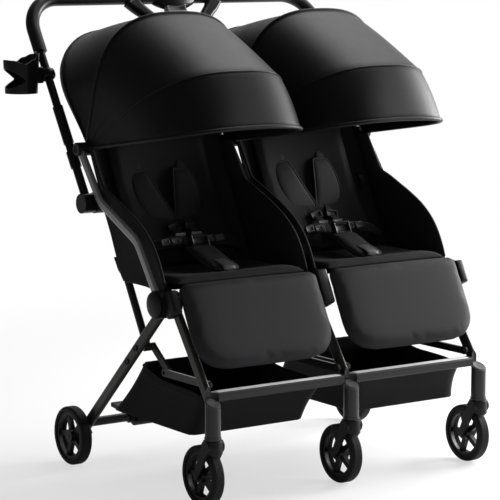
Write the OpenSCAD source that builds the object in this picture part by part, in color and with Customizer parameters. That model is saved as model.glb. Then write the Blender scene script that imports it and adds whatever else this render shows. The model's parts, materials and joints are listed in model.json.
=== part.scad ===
// Side by side double stroller: two seats on one folding frame, three casters in front, two wheels behind.
// Millimetres, +Z up, the front faces -Y, the origin lies on the ground in the middle of the wheelbase.

/* [Overall] */
// Distance between the middles of the two rear wheels
rear_track = 736; // [700:2:780]
// Distance from the front axles to the rear axles
wheel_base = 444; // [420:2:470]
// Distance between the middles of the two seats
seat_pitch = 364; // [356:1:372]

/* [Wheels] */
// Diameter of a caster wheel
front_wheel_d = 120; // [112:1:124]
// Diameter of a rear wheel
rear_wheel_d = 123; // [114:1:132]
// Width of every tyre
tyre_w = 24; // [20:1:26]
// Depth of the tyre from tread to rim
tyre_depth = 11; // [8:0.5:14]
// Radial width of the rim ring
rim_ring = 7; // [5:0.5:10]
// Diameter of a wheel hub
hub_d = 27; // [24:1:32]
// Diameter of every wheel axle
axle_d = 8; // [6:0.5:10]
// Width of a spoke
spoke_w = 9; // [6:0.5:12]
// Number of spokes in a wheel
spoke_count = 5; // [3:1:7]

/* [Casters] */
// How far the caster wheel trails behind its swivel axis
caster_trail = 34; // [26:1:40]
// Outer diameter of the swivel socket
socket_d = 31; // [28:1:36]
// Height of the top of the swivel socket
socket_top = 208; // [204:1:220]
// Height of the lower end of the swivel socket
socket_low = 137; // [132:1:150]
// Diameter of the swivel stem
stem_d = 14; // [10:0.5:18]
// Thickness of a fork arm
fork_arm_t = 5; // [4:0.5:7]
// Width of a fork arm
fork_arm_w = 26; // [22:1:28]
// Width of a fork arm at the axle
fork_tip_w = 15; // [13:1:18]

/* [Frame] */
// Place of the main hinge along the stroller
hinge_y = -118; // [-126:1:-110]
// Height of the main hinge
hinge_z = 385; // [378:1:392]
// Diameter of the main hinge housing
hinge_d = 56; // [50:1:60]
// Diameter of the main hinge pin
hinge_pin_d = 12; // [8:1:16]
// Width of a leg tube, seen from the side
leg_w = 25; // [20:1:28]
// Thickness of a leg tube across the stroller
leg_t = 12; // [10:1:13]
// Place of the upper end of the seat rails along the stroller
rail_top_y = 184; // [178:1:190]
// Height of the upper end of the seat rails
rail_top_z = 666; // [658:1:674]
// Width of a seat rail, seen from the side
rail_w = 20; // [16:1:24]
// Thickness of a seat rail across the stroller
rail_t = 10; // [8:1:11]
// Bend radius of a seat rail
rail_bend_r = 60; // [45:1:75]
// Place of the fold pods along the stroller
pod_y = 152; // [147:1:156]
// Height of the fold pods
pod_z = 558; // [552:1:564]
// Diameter of the fold pods
pod_d = 43; // [38:1:46]
// Diameter of the outer lower back tubes
back_tube_d = 16; // [12:1:18]
// Diameter of the rivet pins
rivet_d = 8; // [6:0.5:9]
// Thickness of the brace plates
brace_t = 6; // [4:0.5:7]
// Width of the brace plates
brace_w = 16; // [13:1:18]
// Diameter of the rear cross tube
cross_d = 19; // [14:1:22]

/* [Handle] */
// Angle of the handle above the ground
handle_angle = 58; // [55:0.5:61]
// Distance from the fold pods to the handle bar
handle_reach = 480; // [460:1:500]
// Width of the handle tube in the plane of the handle
handle_w = 24; // [20:1:27]
// Thickness of the handle tube
handle_t = 21; // [18:1:22]
// Thickness of the grip around the bar
grip_t = 5; // [3:0.5:7]
// Bend radius of the handle corners
handle_bend_r = 76; // [60:1:90]
// Length of the grip down each side
grip_leg = 50; // [36:2:70]

/* [Cup holder] */
// Inner radius of the cup ring
cup_r = 37; // [33:0.5:40]
// Depth of the cup holder
cup_h = 78; // [60:1:90]
// Distance from the handle's sleeve up to the cup holder's clamp
cup_up = 77; // [60:1:100]
// Wall of the cup holder
cup_wall = 3; // [2:0.25:4]

/* [Seats] */
// Width of a seat between its side panels
seat_w = 336; // [326:1:340]
// Length of the seat cushion
seat_len = 200; // [190:1:206]
// Rise of the seat cushion towards the front, in degrees
seat_tilt = 5; // [2:0.5:8]
// Thickness of the seat cushion at its crown
seat_t = 34; // [26:1:40]
// Thickness of a side panel
wing_t = 9; // [6:0.5:11]
// Width of a backrest
back_w = 268; // [250:1:276]
// Length of a backrest
back_len = 350; // [330:1:362]
// Thickness of a backrest at its crown
back_t = 30; // [24:1:36]
// Radius of the upper corners of a backrest
back_corner = 50; // [30:1:60]
// Angle of the backrest above the ground
back_angle = 63; // [60:0.5:66]
// Width of a leg rest
leg_rest_w = 338; // [326:1:342]
// Length of a leg rest
leg_rest_len = 200; // [184:1:208]
// Thickness of a leg rest at its crown
leg_rest_t = 26; // [20:1:30]
// Radius of the lower corners of a leg rest
leg_rest_corner = 52; // [30:1:60]
// Angle of the leg rest from the vertical
leg_rest_lean = 27; // [24:0.5:30]

/* [Canopies] */
// Half width of the rear canopy panel
canopy_half = 166; // [160:1:168]
// Reach of the rear bow from the pivot
rear_reach = 277; // [268:1:279]
// Reach of the middle bow from the pivot
mid_reach = 280; // [272:1:288]
// Reach of the visor seam from the pivot
seam_reach = 352; // [340:1:362]
// Reach of the visor rim from the pivot
rim_reach = 364; // [352:1:374]
// Thickness of the canopy cloth with its lining
canopy_wall = 3; // [2:0.25:3.5]
// Angle of the rear bow about the pivot
bow_rear_angle = 48; // [46:0.5:54]
// Angle of the middle bow about the pivot
bow_mid_angle = 105.5; // [103:0.5:108]
// Angle of the visor seam about the pivot
seam_angle = 151.5; // [148:0.5:155]
// Angle of the visor rim about the pivot
rim_angle = 171; // [168:0.5:174]

/* [Baskets] */
// Length of a basket along the stroller
basket_len = 300; // [270:1:310]
// Height of a basket floor above the ground
basket_floor = 126; // [126:1:134]
// Wall of a basket
basket_wall = 3; // [2:0.25:4]

/* [Hidden] */

$fn = 48;
// Overrun of every cut
over = 1;
// Gap between pieces that move past each other
run_gap = 1;
// Radial clearance of a pin in its bore
pin_fit = 0.05;
// Gap between a soft piece and its seat
seat_gap = 0.3;

// Colours
metal_colour = [0.30, 0.29, 0.28];
black_colour = [0.07, 0.07, 0.08];
cloth_colour = [0.13, 0.13, 0.14];
bright_colour = [0.72, 0.73, 0.75];

// Lateral places
side_x = rear_track / 2;
leg_gap = 2;
rear_leg_x = side_x - tyre_w / 2 - leg_gap - leg_t / 2;
front_leg_x = rear_leg_x - leg_t - leg_gap;
rail_gap = 6;
rail_x = rear_leg_x + leg_t / 2 + rail_gap + rail_t / 2;
back_tube_gap = 8;
back_tube_x = rear_leg_x - leg_t / 2 - back_tube_gap - back_tube_d / 2;
brace_gap = 3;
rail_offset = leg_t / 2 + brace_gap + brace_t / 2;
link_gap = 4;
link_offset = rail_offset + brace_t + link_gap;
middle_tube_d = 12;
middle_tube_x = leg_t / 2 + leg_gap / 4 + middle_tube_d / 2;
seat_x = seat_pitch / 2;

// Points of the side view, each as [along, height]
hinge = [hinge_y, hinge_z];
rail_top = [rail_top_y, rail_top_z];
pod = [pod_y, pod_z];
rail_span = rail_top - hinge;
rail_low_shares = [0.275, 0.41];
rail_high_shares = [0.74, 0.64];
rail_low = [hinge[0] + rail_span[0] * rail_low_shares[0], hinge[1] + rail_span[1] * rail_low_shares[1]];
rail_high = [hinge[0] + rail_span[0] * rail_high_shares[0], hinge[1] + rail_span[1] * rail_high_shares[1]];
front_axle = [-wheel_base / 2, front_wheel_d / 2];
rear_axle = [wheel_base / 2, rear_wheel_d / 2];
swivel_y = front_axle[0] - caster_trail;
rear_leg_vector = rear_axle - hinge;
cross_share = 0.905;
cross_point = hinge + rear_leg_vector * cross_share;
leg_end_share = 0.93;
leg_end = hinge + rear_leg_vector * leg_end_share;
// The brace pivots: on the rear leg, on the front leg, and the free knee between them
leg_pivot_share = 0.325;
leg_pivot = hinge + rear_leg_vector * leg_pivot_share;
front_leg_low = [swivel_y, socket_top - leg_w / 2];
front_leg_vector = front_leg_low - hinge;
front_pivot_share = 0.78;
front_pivot = hinge + front_leg_vector * front_pivot_share;
knee_shares = [0.73, -0.02];
knee = [front_pivot[0] + (leg_pivot[0] - front_pivot[0]) * knee_shares[0],
        front_pivot[1] + (leg_pivot[1] - front_pivot[1]) * knee_shares[1]];
front_bar_share = 0.885;
front_bar_point = hinge + front_leg_vector * front_bar_share;

// The front canopy panel slides over the rear one
canopy_slip = canopy_wall + run_gap;
canopy_cap_d = 29;

// Seat places; a pad's edge is a share of its thickness
pad_edge_share = 0.22;
pad_pull = 4;
seat_front = [hinge[0] - leg_w, hinge[1] + hinge_d / 2 + seat_t];
pan_mid = [seat_front[0] + seat_len / 2, seat_front[1] - seat_t / 2];
pan_half = seat_len / 2 * [cos(seat_tilt), -sin(seat_tilt)];
recline_pivot = pan_mid + pan_half + [back_t * pad_edge_share / 2 + seat_gap - pad_pull / 3, 0];
leg_rest_pivot = pan_mid - pan_half - [leg_rest_t * pad_edge_share / 2 + seat_gap, 0];

// The length of a line and its turn from +X
function turn(v) = atan2(v[1], v[0]);
function unit(v) = v / norm(v);
function left_of(v) = [-v[1], v[0]];
function bend(a, b) = let (t = turn(b) - turn(a)) t > 180 ? t - 360 : t < -180 ? t + 360 : t;

// A flat oval, the wide way along X
module oval(wide, thick) {
    square([wide - thick, thick], center = true);
    for (end = [-1, 1]) translate([end * (wide - thick) / 2, 0]) circle(d = thick);
}

// Puts a drawing of the side view, X along the stroller and Y up, at a place across the stroller
module side(x) {
    translate([x, 0, 0]) rotate([90, 0, 90]) children();
}

// A straight oval tube between two points of the drawing plane
module tube(p, q, wide, thick) {
    translate(p) rotate([0, 0, turn(q - p)]) rotate([90, 0, 90]) linear_extrude(norm(q - p)) oval(wide, thick);
}

// An oval tube along a line of points, with its corners bent to one radius and a trace thicker there
bend_skin = 0.2;
module bent_tube(points, radius, wide, thick) {
    last = len(points) - 1;
    ways = [for (i = [0 : last - 1]) unit(points[i + 1] - points[i])];
    bends = [for (i = [0 : last]) i == 0 || i == last ? 0 : bend(ways[i - 1], ways[i])];
    backs = [for (b = bends) radius * tan(abs(b) / 2)];
    for (i = [0 : last - 1])
        tube(points[i] + ways[i] * (backs[i] - (i > 0 ? over : 0)),
             points[i + 1] - ways[i] * (backs[i + 1] - (i < last - 1 ? over : 0)), wide, thick);
    for (i = [1 : last - 1]) {
        hand = sign(bends[i]);
        centre = points[i] - ways[i - 1] * backs[i] + left_of(ways[i - 1]) * radius * hand;
        first = turn(ways[i - 1]) - 90 * hand + min(bends[i], 0);
        translate(centre) rotate([0, 0, first]) rotate_extrude(angle = abs(bends[i]), $fn = 96)
            translate([radius, 0]) oval(wide + bend_skin, thick + bend_skin);
    }
}

// A straight round tube between two points of the drawing plane
module round_tube(p, q, d) {
    translate(p) rotate([0, 0, turn(q - p)]) rotate([90, 0, 90]) cylinder(d = d, h = norm(q - p));
}

// A round bar across the stroller, from one place to another
module cross_bar(point, x_from, x_to, d) {
    translate([min(x_from, x_to), point[0], point[1]]) rotate([0, 90, 0]) cylinder(d = d, h = abs(x_to - x_from));
}

// A flat plate with round ends between two points of the side view, a little narrower between them
waist_share = 0.92;
module link_plate(p, q, wide, thick, bores) {
    linear_extrude(thick, center = true) difference() {
        union() {
            translate(p) rotate(turn(q - p)) translate([0, -wide * waist_share / 2])
                square([norm(q - p), wide * waist_share]);
            translate(p) circle(d = wide);
            translate(q) circle(d = wide);
        }
        for (k = [0, 1]) if (bores[k] > 0) translate(k == 0 ? p : q) circle(d = bores[k]);
    }
}

// A stuffed pad: crowned faces, sides drawn in between the corners, and sewn channels across it
pad_cells = [12, 12];
pad_power = 4;
groove_power = 8;
groove_share = 0.18;
groove_end_share = 0.04;
function dome(s) = sqrt(1 - pow(abs(2 * s - 1), pad_power));
function groove(s, channels) = channels == 0 || s < groove_end_share || s > 1 - groove_end_share ? 1 :
    1 - groove_share * pow(abs(cos(180 * s * (channels + 1))), groove_power);
module pad(wide, long, thick, channels, corner) {
    nx = pad_cells[0];
    ny = pad_cells[1];
    row = nx + 1;
    count = row * (ny + 1);
    edge = thick * pad_edge_share;
    swell = (thick - edge) / 2;
    points = [for (face = [1, -1], j = [0 : ny], i = [0 : nx]) let (
        u = i / nx, v = j / ny,
        past = max(0, (v - 1) * long + corner),
        cut = corner - sqrt(pow(corner, 2) - pow(past, 2)),
        inx = 1 - 2 * pad_pull / wide * (1 - pow(2 * v - 1, 2)) - 2 * cut / wide,
        iny = 1 - 2 * pad_pull / long * (1 - pow(2 * u - 1, 2)))
        [(u - 1 / 2) * wide * inx, (v - 1 / 2) * long * iny,
         face * (edge / 2 + swell * dome(u) * dome(v) * groove(v, channels))]];
    top = [for (j = [0 : ny - 1], i = [0 : nx - 1], half = [0, 1]) let (a = j * row + i)
        half == 0 ? [a, a + row, a + row + 1] : [a, a + row + 1, a + 1]];
    low = [for (f = top) [f[0] + count, f[2] + count, f[1] + count]];
    rim = concat([for (i = [0 : nx - 1]) i], [for (j = [0 : ny - 1]) j * row + nx],
        [for (i = [nx : -1 : 1]) ny * row + i], [for (j = [ny : -1 : 1]) j * row]);
    wall = [for (k = [0 : len(rim) - 1], half = [0, 1]) let (a = rim[k], b = rim[(k + 1) % len(rim)])
        half == 0 ? [a, b, b + count] : [a, b + count, a + count]];
    polyhedron(points, concat(top, low, wall));
}

// Rear frame
module rear_leg(x, keep_d) {
    color(metal_colour) difference() {
        side(x) tube(hinge, leg_end, leg_w, leg_t);
        cross_bar(hinge, x - leg_t, x + leg_t, keep_d);
        cross_bar(leg_pivot, x - leg_t, x + leg_t, rivet_d);
        cross_bar(cross_point, x - leg_t, x + leg_t, cross_d);
    }
}
middle_clear = 9;
module rear_leg_left() rear_leg(-rear_leg_x, hinge_d);
module rear_leg_right() rear_leg(rear_leg_x, hinge_d);
module rear_leg_middle() rear_leg(0, hinge_d + 2 * middle_clear);

// The outer hinge is a round housing with a pin that carries the front leg
hinge_cap_t = 4;
hinge_dish_share = 0.7;
hinge_dish_d = hinge_d * hinge_dish_share;
hinge_head_t = 3;
hinge_head_share = 1.5;
module main_hinge(hand) {
    inner = rear_leg_x - leg_t / 2 - run_gap;
    outer = side_x + tyre_w / 2 - hinge_cap_t;
    head = front_leg_x - leg_t / 2 - run_gap / 2;
    color(black_colour) difference() {
        union() {
            cross_bar(hinge, hand * inner, hand * outer, hinge_d);
            cross_bar(hinge, hand * outer, hand * (outer + hinge_cap_t), hinge_dish_d);
            cross_bar(hinge, hand * (head - hinge_head_t), hand * inner, hinge_pin_d);
            cross_bar(hinge, hand * (head - hinge_head_t), hand * head, hinge_pin_d * hinge_head_share);
        }
        cross_bar(hinge, hand * (outer + hinge_cap_t / 2), hand * (outer + hinge_cap_t + over), hinge_dish_d / 2);
    }
}
module main_hinge_left() main_hinge(-1);
module main_hinge_right() main_hinge(1);

// The middle hinge is a fork of two cheeks round the middle front leg
cheek_t = 7;
cheek_reach_share = 1.15;
module main_hinge_middle() {
    reach = hinge_d * cheek_reach_share;
    down = hinge + unit(rear_leg_vector) * reach;
    up = hinge + unit(rail_low - hinge) * reach;
    color(black_colour) {
        for (hand = [-1, 1]) side(hand * (leg_t / 2 + seat_gap + cheek_t / 2)) {
            linear_extrude(cheek_t, center = true) translate(hinge) circle(d = hinge_d);
            link_plate(hinge, down, leg_w, cheek_t, [0, 0]);
            link_plate(hinge, up, rail_w, cheek_t, [0, 0]);
        }
        cross_bar(hinge, -leg_t, leg_t, hinge_pin_d);
    }
}

// Seat rails
module seat_rail(x, low_d) {
    color(metal_colour) difference() {
        side(x) bent_tube([hinge, rail_low, rail_high, rail_top], rail_bend_r, rail_w, rail_t);
        cross_bar(hinge, x - rail_t, x + rail_t, low_d);
        cross_bar(rail_top, x - rail_t, x + rail_t, canopy_cap_d);
    }
}
module seat_rail_left() seat_rail(-rail_x, hinge_d);
module seat_rail_right() seat_rail(rail_x, hinge_d);
module seat_rail_middle() seat_rail(0, hinge_d + 2 * middle_clear);

// Lower back tubes, from the fold pods down to the rear legs
pod_pin_d = 12;
module back_tube(x, d) {
    difference() {
        union() {
            side(x) round_tube(pod, leg_pivot, d);
            cross_bar(leg_pivot, x - d / 2, x + d / 2, d);
        }
        cross_bar(pod, x - d, x + d, pod_d);
        cross_bar(leg_pivot, x - d, x + d, rivet_d);
    }
}
module back_tubes() {
    color(metal_colour) {
        for (hand = [-1, 1]) back_tube(hand * back_tube_x, back_tube_d);
        back_tube(middle_tube_x, middle_tube_d);
    }
}

// Fold pods on top of the back tubes; the handle turns on their pins
pod_in = back_tube_x - back_tube_d / 2;
pod_out = side_x - handle_w / 2 - run_gap;
knuckle_end = side_x + tyre_w / 2 + hinge_cap_t;
stem_knuckle_t = 16;
middle_pod_out = middle_tube_x + middle_tube_d / 2;
module fold_pods() {
    color(black_colour) {
        for (hand = [-1, 1]) {
            cross_bar(pod, hand * pod_in, hand * pod_out, pod_d);
            cross_bar(pod, hand * pod_out, hand * (knuckle_end - hinge_cap_t), pod_pin_d);
            cross_bar(pod, hand * (stem_knuckle_t + run_gap) / 2, hand * middle_pod_out, pod_d);
        }
        cross_bar(pod, -stem_knuckle_t, stem_knuckle_t, pod_pin_d);
    }
}

// Rivets that tie the back tubes, the rear legs and the brace links together
module link_pins() {
    pin_reach = link_offset + brace_t;
    color(bright_colour) {
        for (hand = [-1, 1])
            cross_bar(leg_pivot, hand * (front_leg_x - pin_reach), hand * (rear_leg_x + leg_t / 2), rivet_d);
        cross_bar(leg_pivot, -pin_reach, pin_reach, rivet_d);
    }
}

// Rear cross tube through the three rear legs
cross_bore_share = 0.7;
module rear_crossbar() {
    end = rear_leg_x + leg_t / 2;
    color(metal_colour) difference() {
        cross_bar(cross_point, -end, end, cross_d);
        cross_bar(cross_point, -end - over, end + over, cross_d * cross_bore_share);
    }
}

// Brackets on the leg ends, with the rear axles
bracket_share = 1.5;
bracket_w = leg_w * bracket_share;
module wheel_brackets() {
    color(black_colour) for (hand = [-1, 1]) {
        difference() {
            union() {
                side(hand * (rear_leg_x)) linear_extrude(leg_t, center = true) {
                    translate(rear_axle) circle(d = bracket_w);
                    translate(leg_end) rotate(turn(rear_leg_vector)) translate([0, -bracket_w / 2])
                        square([norm(rear_axle - leg_end), bracket_w]);
                }
                cross_bar(rear_axle, hand * rear_leg_x, hand * (side_x + tyre_w / 2), axle_d);
            }
            cross_bar(cross_point, -rear_track, rear_track, cross_d);
        }
    }
}

// Brake: a housing on the cross tube and a pedal that tips on it
brake_x_share = 0.62;
brake_w = 46;
brake_d = 40;
pedal_len = 62;
pedal_t = 9;
pedal_tip_share = 1.2;
brake_sleeve_shares = [0.8, 1.35];
module brake_housing() {
    x = -rear_leg_x * brake_x_share;
    sleeve = brake_w * brake_sleeve_shares[0];
    color(black_colour) difference() {
        union() {
            cross_bar(cross_point, x - brake_w / 2, x + brake_w / 2, brake_d);
            cross_bar(cross_point, x - sleeve, x + sleeve, cross_d * brake_sleeve_shares[1]);
        }
        cross_bar(cross_point, x - brake_w, x + brake_w, cross_d);
    }
}
pedal_pivot = cross_point + [brake_d / 2 + pedal_t * pedal_tip_share / 2 + seat_gap, 0];
module brake_pedal() {
    x = -rear_leg_x * brake_x_share;
    tip = pedal_pivot + [pedal_len, pedal_t];
    color(black_colour) {
        cross_bar(pedal_pivot, x - brake_w / 2, x + brake_w / 2, pedal_t * pedal_tip_share);
        side(x) linear_extrude(brake_w, center = true) {
            translate(pedal_pivot) rotate(turn(tip - pedal_pivot)) translate([0, -pedal_t / 2])
                square([pedal_len, pedal_t]);
            translate(tip) circle(d = pedal_t * pedal_tip_share);
        }
    }
}

// Wheels: a spoked rim and a round shouldered tyre
rim_w_share = 0.8;
hub_w_share = 0.96;
spoke_root_share = 0.7;
shoulder_share = 0.45;
module rim(axle, x, wheel_d) {
    outer = wheel_d / 2 - tyre_depth;
    inner = outer - rim_ring;
    rim_w = tyre_w * rim_w_share;
    root = spoke_w * spoke_root_share;
    tip = inner + rim_ring / 2;
    color(black_colour) side(x) translate(axle) difference() {
        union() {
            rotate_extrude($fn = 96) polygon([[inner, -rim_w / 2], [outer, -rim_w / 2], [outer, rim_w / 2],
                [inner, rim_w / 2], [inner + rim_ring / 3, 0]]);
            cylinder(d = hub_d, h = tyre_w * hub_w_share, center = true);
            for (k = [1 : spoke_count]) rotate(k * 360 / spoke_count)
                linear_extrude(rim_w / 2, center = true) polygon([[0, -root], [tip, -spoke_w / 2], [tip, spoke_w / 2],
                    [0, root]]);
        }
        cylinder(d = axle_d + 2 * pin_fit, h = tyre_w + over, center = true);
    }
}
module tyre(axle, x, wheel_d) {
    outer = wheel_d / 2;
    inner = outer - tyre_depth + seat_gap;
    shoulder = tyre_depth * shoulder_share;
    color(black_colour) side(x) translate(axle) rotate_extrude($fn = 96) {
        translate([inner, -tyre_w / 2]) square([outer - shoulder - inner, tyre_w]);
        translate([inner, -tyre_w / 2 + shoulder]) square([outer - inner, tyre_w - 2 * shoulder]);
        for (end = [-1, 1]) translate([outer - shoulder, end * (tyre_w / 2 - shoulder)]) circle(r = shoulder);
    }
}
module rear_rim_left() rim(rear_axle, -side_x, rear_wheel_d);
module rear_rim_right() rim(rear_axle, side_x, rear_wheel_d);
module rear_tyre_left() tyre(rear_axle, -side_x, rear_wheel_d);
module rear_tyre_right() tyre(rear_axle, side_x, rear_wheel_d);
module front_rim_left() rim(front_axle, -front_leg_x, front_wheel_d);
module front_rim_middle() rim(front_axle, 0, front_wheel_d);
module front_rim_right() rim(front_axle, front_leg_x, front_wheel_d);
module front_tyre_left() tyre(front_axle, -front_leg_x, front_wheel_d);
module front_tyre_middle() tyre(front_axle, 0, front_wheel_d);
module front_tyre_right() tyre(front_axle, front_leg_x, front_wheel_d);

// Front frame; each leg carries the pins of its brace rails
front_disc_share = 0.88;
front_disc_d = hinge_d * front_disc_share;
module front_leg(x, pin_hands) {
    color(metal_colour) difference() {
        union() {
            side(x) tube(hinge, front_leg_low, leg_w, leg_t);
            cross_bar(hinge, x - leg_t / 2, x + leg_t / 2, front_disc_d);
            for (hand = pin_hands) cross_bar(front_pivot, x, x + hand * (rail_offset + brace_t), rivet_d);
        }
        cross_bar(hinge, x - leg_t, x + leg_t, hinge_pin_d + 2 * pin_fit);
        translate([x, swivel_y, 0]) cylinder(d = socket_d, h = socket_top * 2);
    }
}
module front_leg_left() front_leg(-front_leg_x, [1]);
module front_leg_middle() front_leg(0, [-1, 1]);
module front_leg_right() front_leg(front_leg_x, [-1]);

// Swivel sockets with a slanted cap; each takes a caster stem from below
cap_slant = 28;
socket_ring_t = 5;
stem_depth_share = 0.7;
stem_top = socket_low + (socket_top - socket_low) * stem_depth_share;
module caster_sockets() {
    color(black_colour) for (x = [-front_leg_x, 0, front_leg_x]) translate([x, swivel_y, 0]) difference() {
        union() {
            translate([0, 0, socket_low]) cylinder(d = socket_d, h = socket_top + socket_d / 2 - socket_low);
            translate([0, 0, socket_low]) cylinder(d = socket_d + socket_ring_t / 2, h = socket_ring_t);
        }
        translate([0, 0, socket_top]) rotate([cap_slant, 0, 0]) translate([0, 0, socket_d])
            cube(socket_d * 2, center = true);
        translate([0, 0, socket_low - over])
            cylinder(d = stem_d + 2 * pin_fit, h = stem_top - socket_low + over + run_gap);
    }
}

// Bars between the front legs, under the leg rests, with rounded edges and cut round the sockets
front_bar_w = 28;
front_bar_t = 18;
front_bar_edge = 5;
module front_bars() {
    inner = leg_t / 2;
    outer = front_leg_x - leg_t / 2;
    flat = [front_bar_w - 2 * front_bar_edge, front_bar_t - 2 * front_bar_edge];
    color(bright_colour) difference() {
        for (start = [inner, -outer]) translate([start, front_bar_point[0], front_bar_point[1]])
            rotate([90, 0, 90]) linear_extrude(outer - inner) {
                square([front_bar_w, flat[1]], center = true);
                square([flat[0], front_bar_t], center = true);
                for (i = [-1, 1], j = [-1, 1]) translate([i * flat[0] / 2, j * flat[1] / 2])
                    circle(r = front_bar_edge);
            }
        for (x = [-front_leg_x, 0, front_leg_x]) translate([x, swivel_y, 0])
            cylinder(d = socket_d + 2 * seat_gap, h = socket_top * 2);
    }
}

// Folding brace: rails on the front legs and links on the rear legs, four of each
brace_places = [-front_leg_x + rail_offset, -rail_offset, rail_offset, front_leg_x - rail_offset];
link_places = [-front_leg_x + link_offset, -link_offset, link_offset, front_leg_x - link_offset];
pin_bore = rivet_d + 2 * pin_fit;
stub_share = 1.4;
module brace_rails() {
    color(metal_colour) for (k = [0 : 3]) side(brace_places[k])
        link_plate(front_pivot, knee, brace_w, brace_t, [pin_bore, pin_bore]);
}
module brace_links() {
    color(metal_colour) for (k = [0 : 3]) {
        toward = sign(brace_places[k] - link_places[k]);
        side(link_places[k]) link_plate(leg_pivot, knee, brace_w, brace_t, [pin_bore, 0]);
        cross_bar(knee, link_places[k], link_places[k] + toward * (brace_t / 2 + link_gap - run_gap / 2),
            rivet_d * stub_share);
    }
}

// Casters: a fork that swivels in its socket
module caster_fork(x) {
    crown_top = socket_low - run_gap / 2;
    wheel_r = front_wheel_d / 2;
    wheel_top = wheel_r + sqrt(pow(wheel_r, 2) - pow(caster_trail - socket_d / 2, 2));
    crown_low = wheel_top + run_gap;
    arm_x = tyre_w / 2 + run_gap * 2 + fork_arm_t / 2;
    knuckle = [swivel_y, crown_top - fork_arm_w / 2];
    root = fork_arm_w / 2 * waist_share;
    tip = fork_tip_w / 2 * waist_share;
    reach = norm(front_axle - knuckle);
    color(black_colour) {
        translate([x, swivel_y, crown_low]) cylinder(d = socket_d, h = crown_top - crown_low);
        translate([x, swivel_y, crown_low]) cylinder(d = stem_d, h = stem_top - crown_low);
        for (hand = [-1, 1]) side(x + hand * arm_x)
            linear_extrude(fork_arm_t, center = true) {
                translate(knuckle) circle(d = fork_arm_w);
                translate(front_axle) circle(d = fork_tip_w);
                translate(knuckle) rotate(turn(front_axle - knuckle))
                    polygon([[0, -root], [reach, -tip], [reach, tip], [0, root]]);
            }
        cross_bar(knuckle, x - arm_x, x + arm_x, fork_arm_w / 2);
        cross_bar(front_axle, x - arm_x, x + arm_x, axle_d);
    }
}
module caster_fork_left() caster_fork(-front_leg_x);
module caster_fork_middle() caster_fork(0);
module caster_fork_right() caster_fork(front_leg_x);

// Handle: the side tubes, the padded bar and the middle stem lie in one slanted plane through the fold pods
module handle_plane() {
    translate([0, pod[0], pod[1]]) rotate([handle_angle, 0, 0]) children();
}
grip_start = handle_reach - handle_bend_r - grip_leg;
knuckle_share = 0.94;
// Stretches of a side tube, each from one share of its length to the next, with its width and thickness shares
stretch_shares = [[0, 0.41, 0.76, 0.82], [0.235, 0.335, 0.98, 1.1], [0.39, 0.63, 0.92, 1], [0.62, 1, 0.72, 0.82]];
module handle_tube(hand) {
    color(metal_colour) difference() {
        union() {
            handle_plane() for (s = stretch_shares) tube([hand * side_x, grip_start * s[0]],
                [hand * side_x, grip_start * s[1]], handle_w * s[2], handle_t * s[3]);
            cross_bar(pod, hand * (pod_out + run_gap / 2), hand * knuckle_end, pod_d * knuckle_share);
        }
        cross_bar(pod, hand * pod_in, hand * (knuckle_end - hinge_cap_t + run_gap / 2), pod_pin_d + 2 * pin_fit);
    }
}
module handle_tube_left() handle_tube(-1);
module handle_tube_right() handle_tube(1);
module handle_bar() {
    line = [[-side_x, grip_start], [-side_x, handle_reach], [side_x, handle_reach], [side_x, grip_start]];
    color(black_colour) handle_plane() bent_tube(line, handle_bend_r, handle_w + grip_t, handle_t + grip_t);
}

// Middle stem with two branches up to the bar
yoke_x = 112;
yoke_drop = 118;
yoke_w = 20;
yoke_t = 16;
yoke_boss_shares = [1.7, 1.15];
module handle_yoke() {
    fork_at = handle_reach - yoke_drop;
    bar_under = handle_reach - (handle_w + grip_t) / 2;
    color(black_colour) difference() {
        union() {
            handle_plane() {
                tube([0, 0], [0, pod_d], stem_knuckle_t - run_gap, yoke_t);
                tube([0, pod_d / 2 + 2 * run_gap], [0, fork_at], yoke_w, yoke_t);
                translate([0, fork_at])
                    cylinder(d = yoke_w * yoke_boss_shares[0], h = yoke_t * yoke_boss_shares[1], center = true);
                for (hand = [-1, 1]) tube([0, fork_at], [hand * yoke_x, bar_under], yoke_w, yoke_t);
            }
            cross_bar(pod, -stem_knuckle_t / 2, stem_knuckle_t / 2, pod_d * knuckle_share);
        }
        cross_bar(pod, -stem_knuckle_t, stem_knuckle_t, pod_pin_d + 2 * pin_fit);
        handle_plane() translate([0, handle_reach, 0])
            cube([2 * side_x, handle_w + grip_t, handle_t + grip_t], center = true);
    }
}

// Release pod under the middle of the bar, with its button
release_w = 92;
release_h = 34;
release_t = 30;
button_w = 42;
button_h = 16;
button_travel = 5;
button_proud = 7;
module release_pod() {
    low = handle_reach - (handle_w + grip_t) / 2;
    color(black_colour) handle_plane() translate([0, low - release_h / 2, 0]) difference() {
        rotate([90, 0, 0]) linear_extrude(release_h, center = true) oval(release_w, release_t);
        translate([0, -release_h / 2, 0]) cube([button_w, button_h * 2, release_t / 2], center = true);
    }
}
module release_button() {
    low = handle_reach - (handle_w + grip_t) / 2 - release_h;
    sunk = button_h - button_travel - run_gap;
    color(bright_colour) handle_plane() translate([0, low + (sunk - button_proud) / 2, 0])
        cube([button_w - run_gap, sunk + button_proud, release_t / 2 - run_gap], center = true);
}

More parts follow.
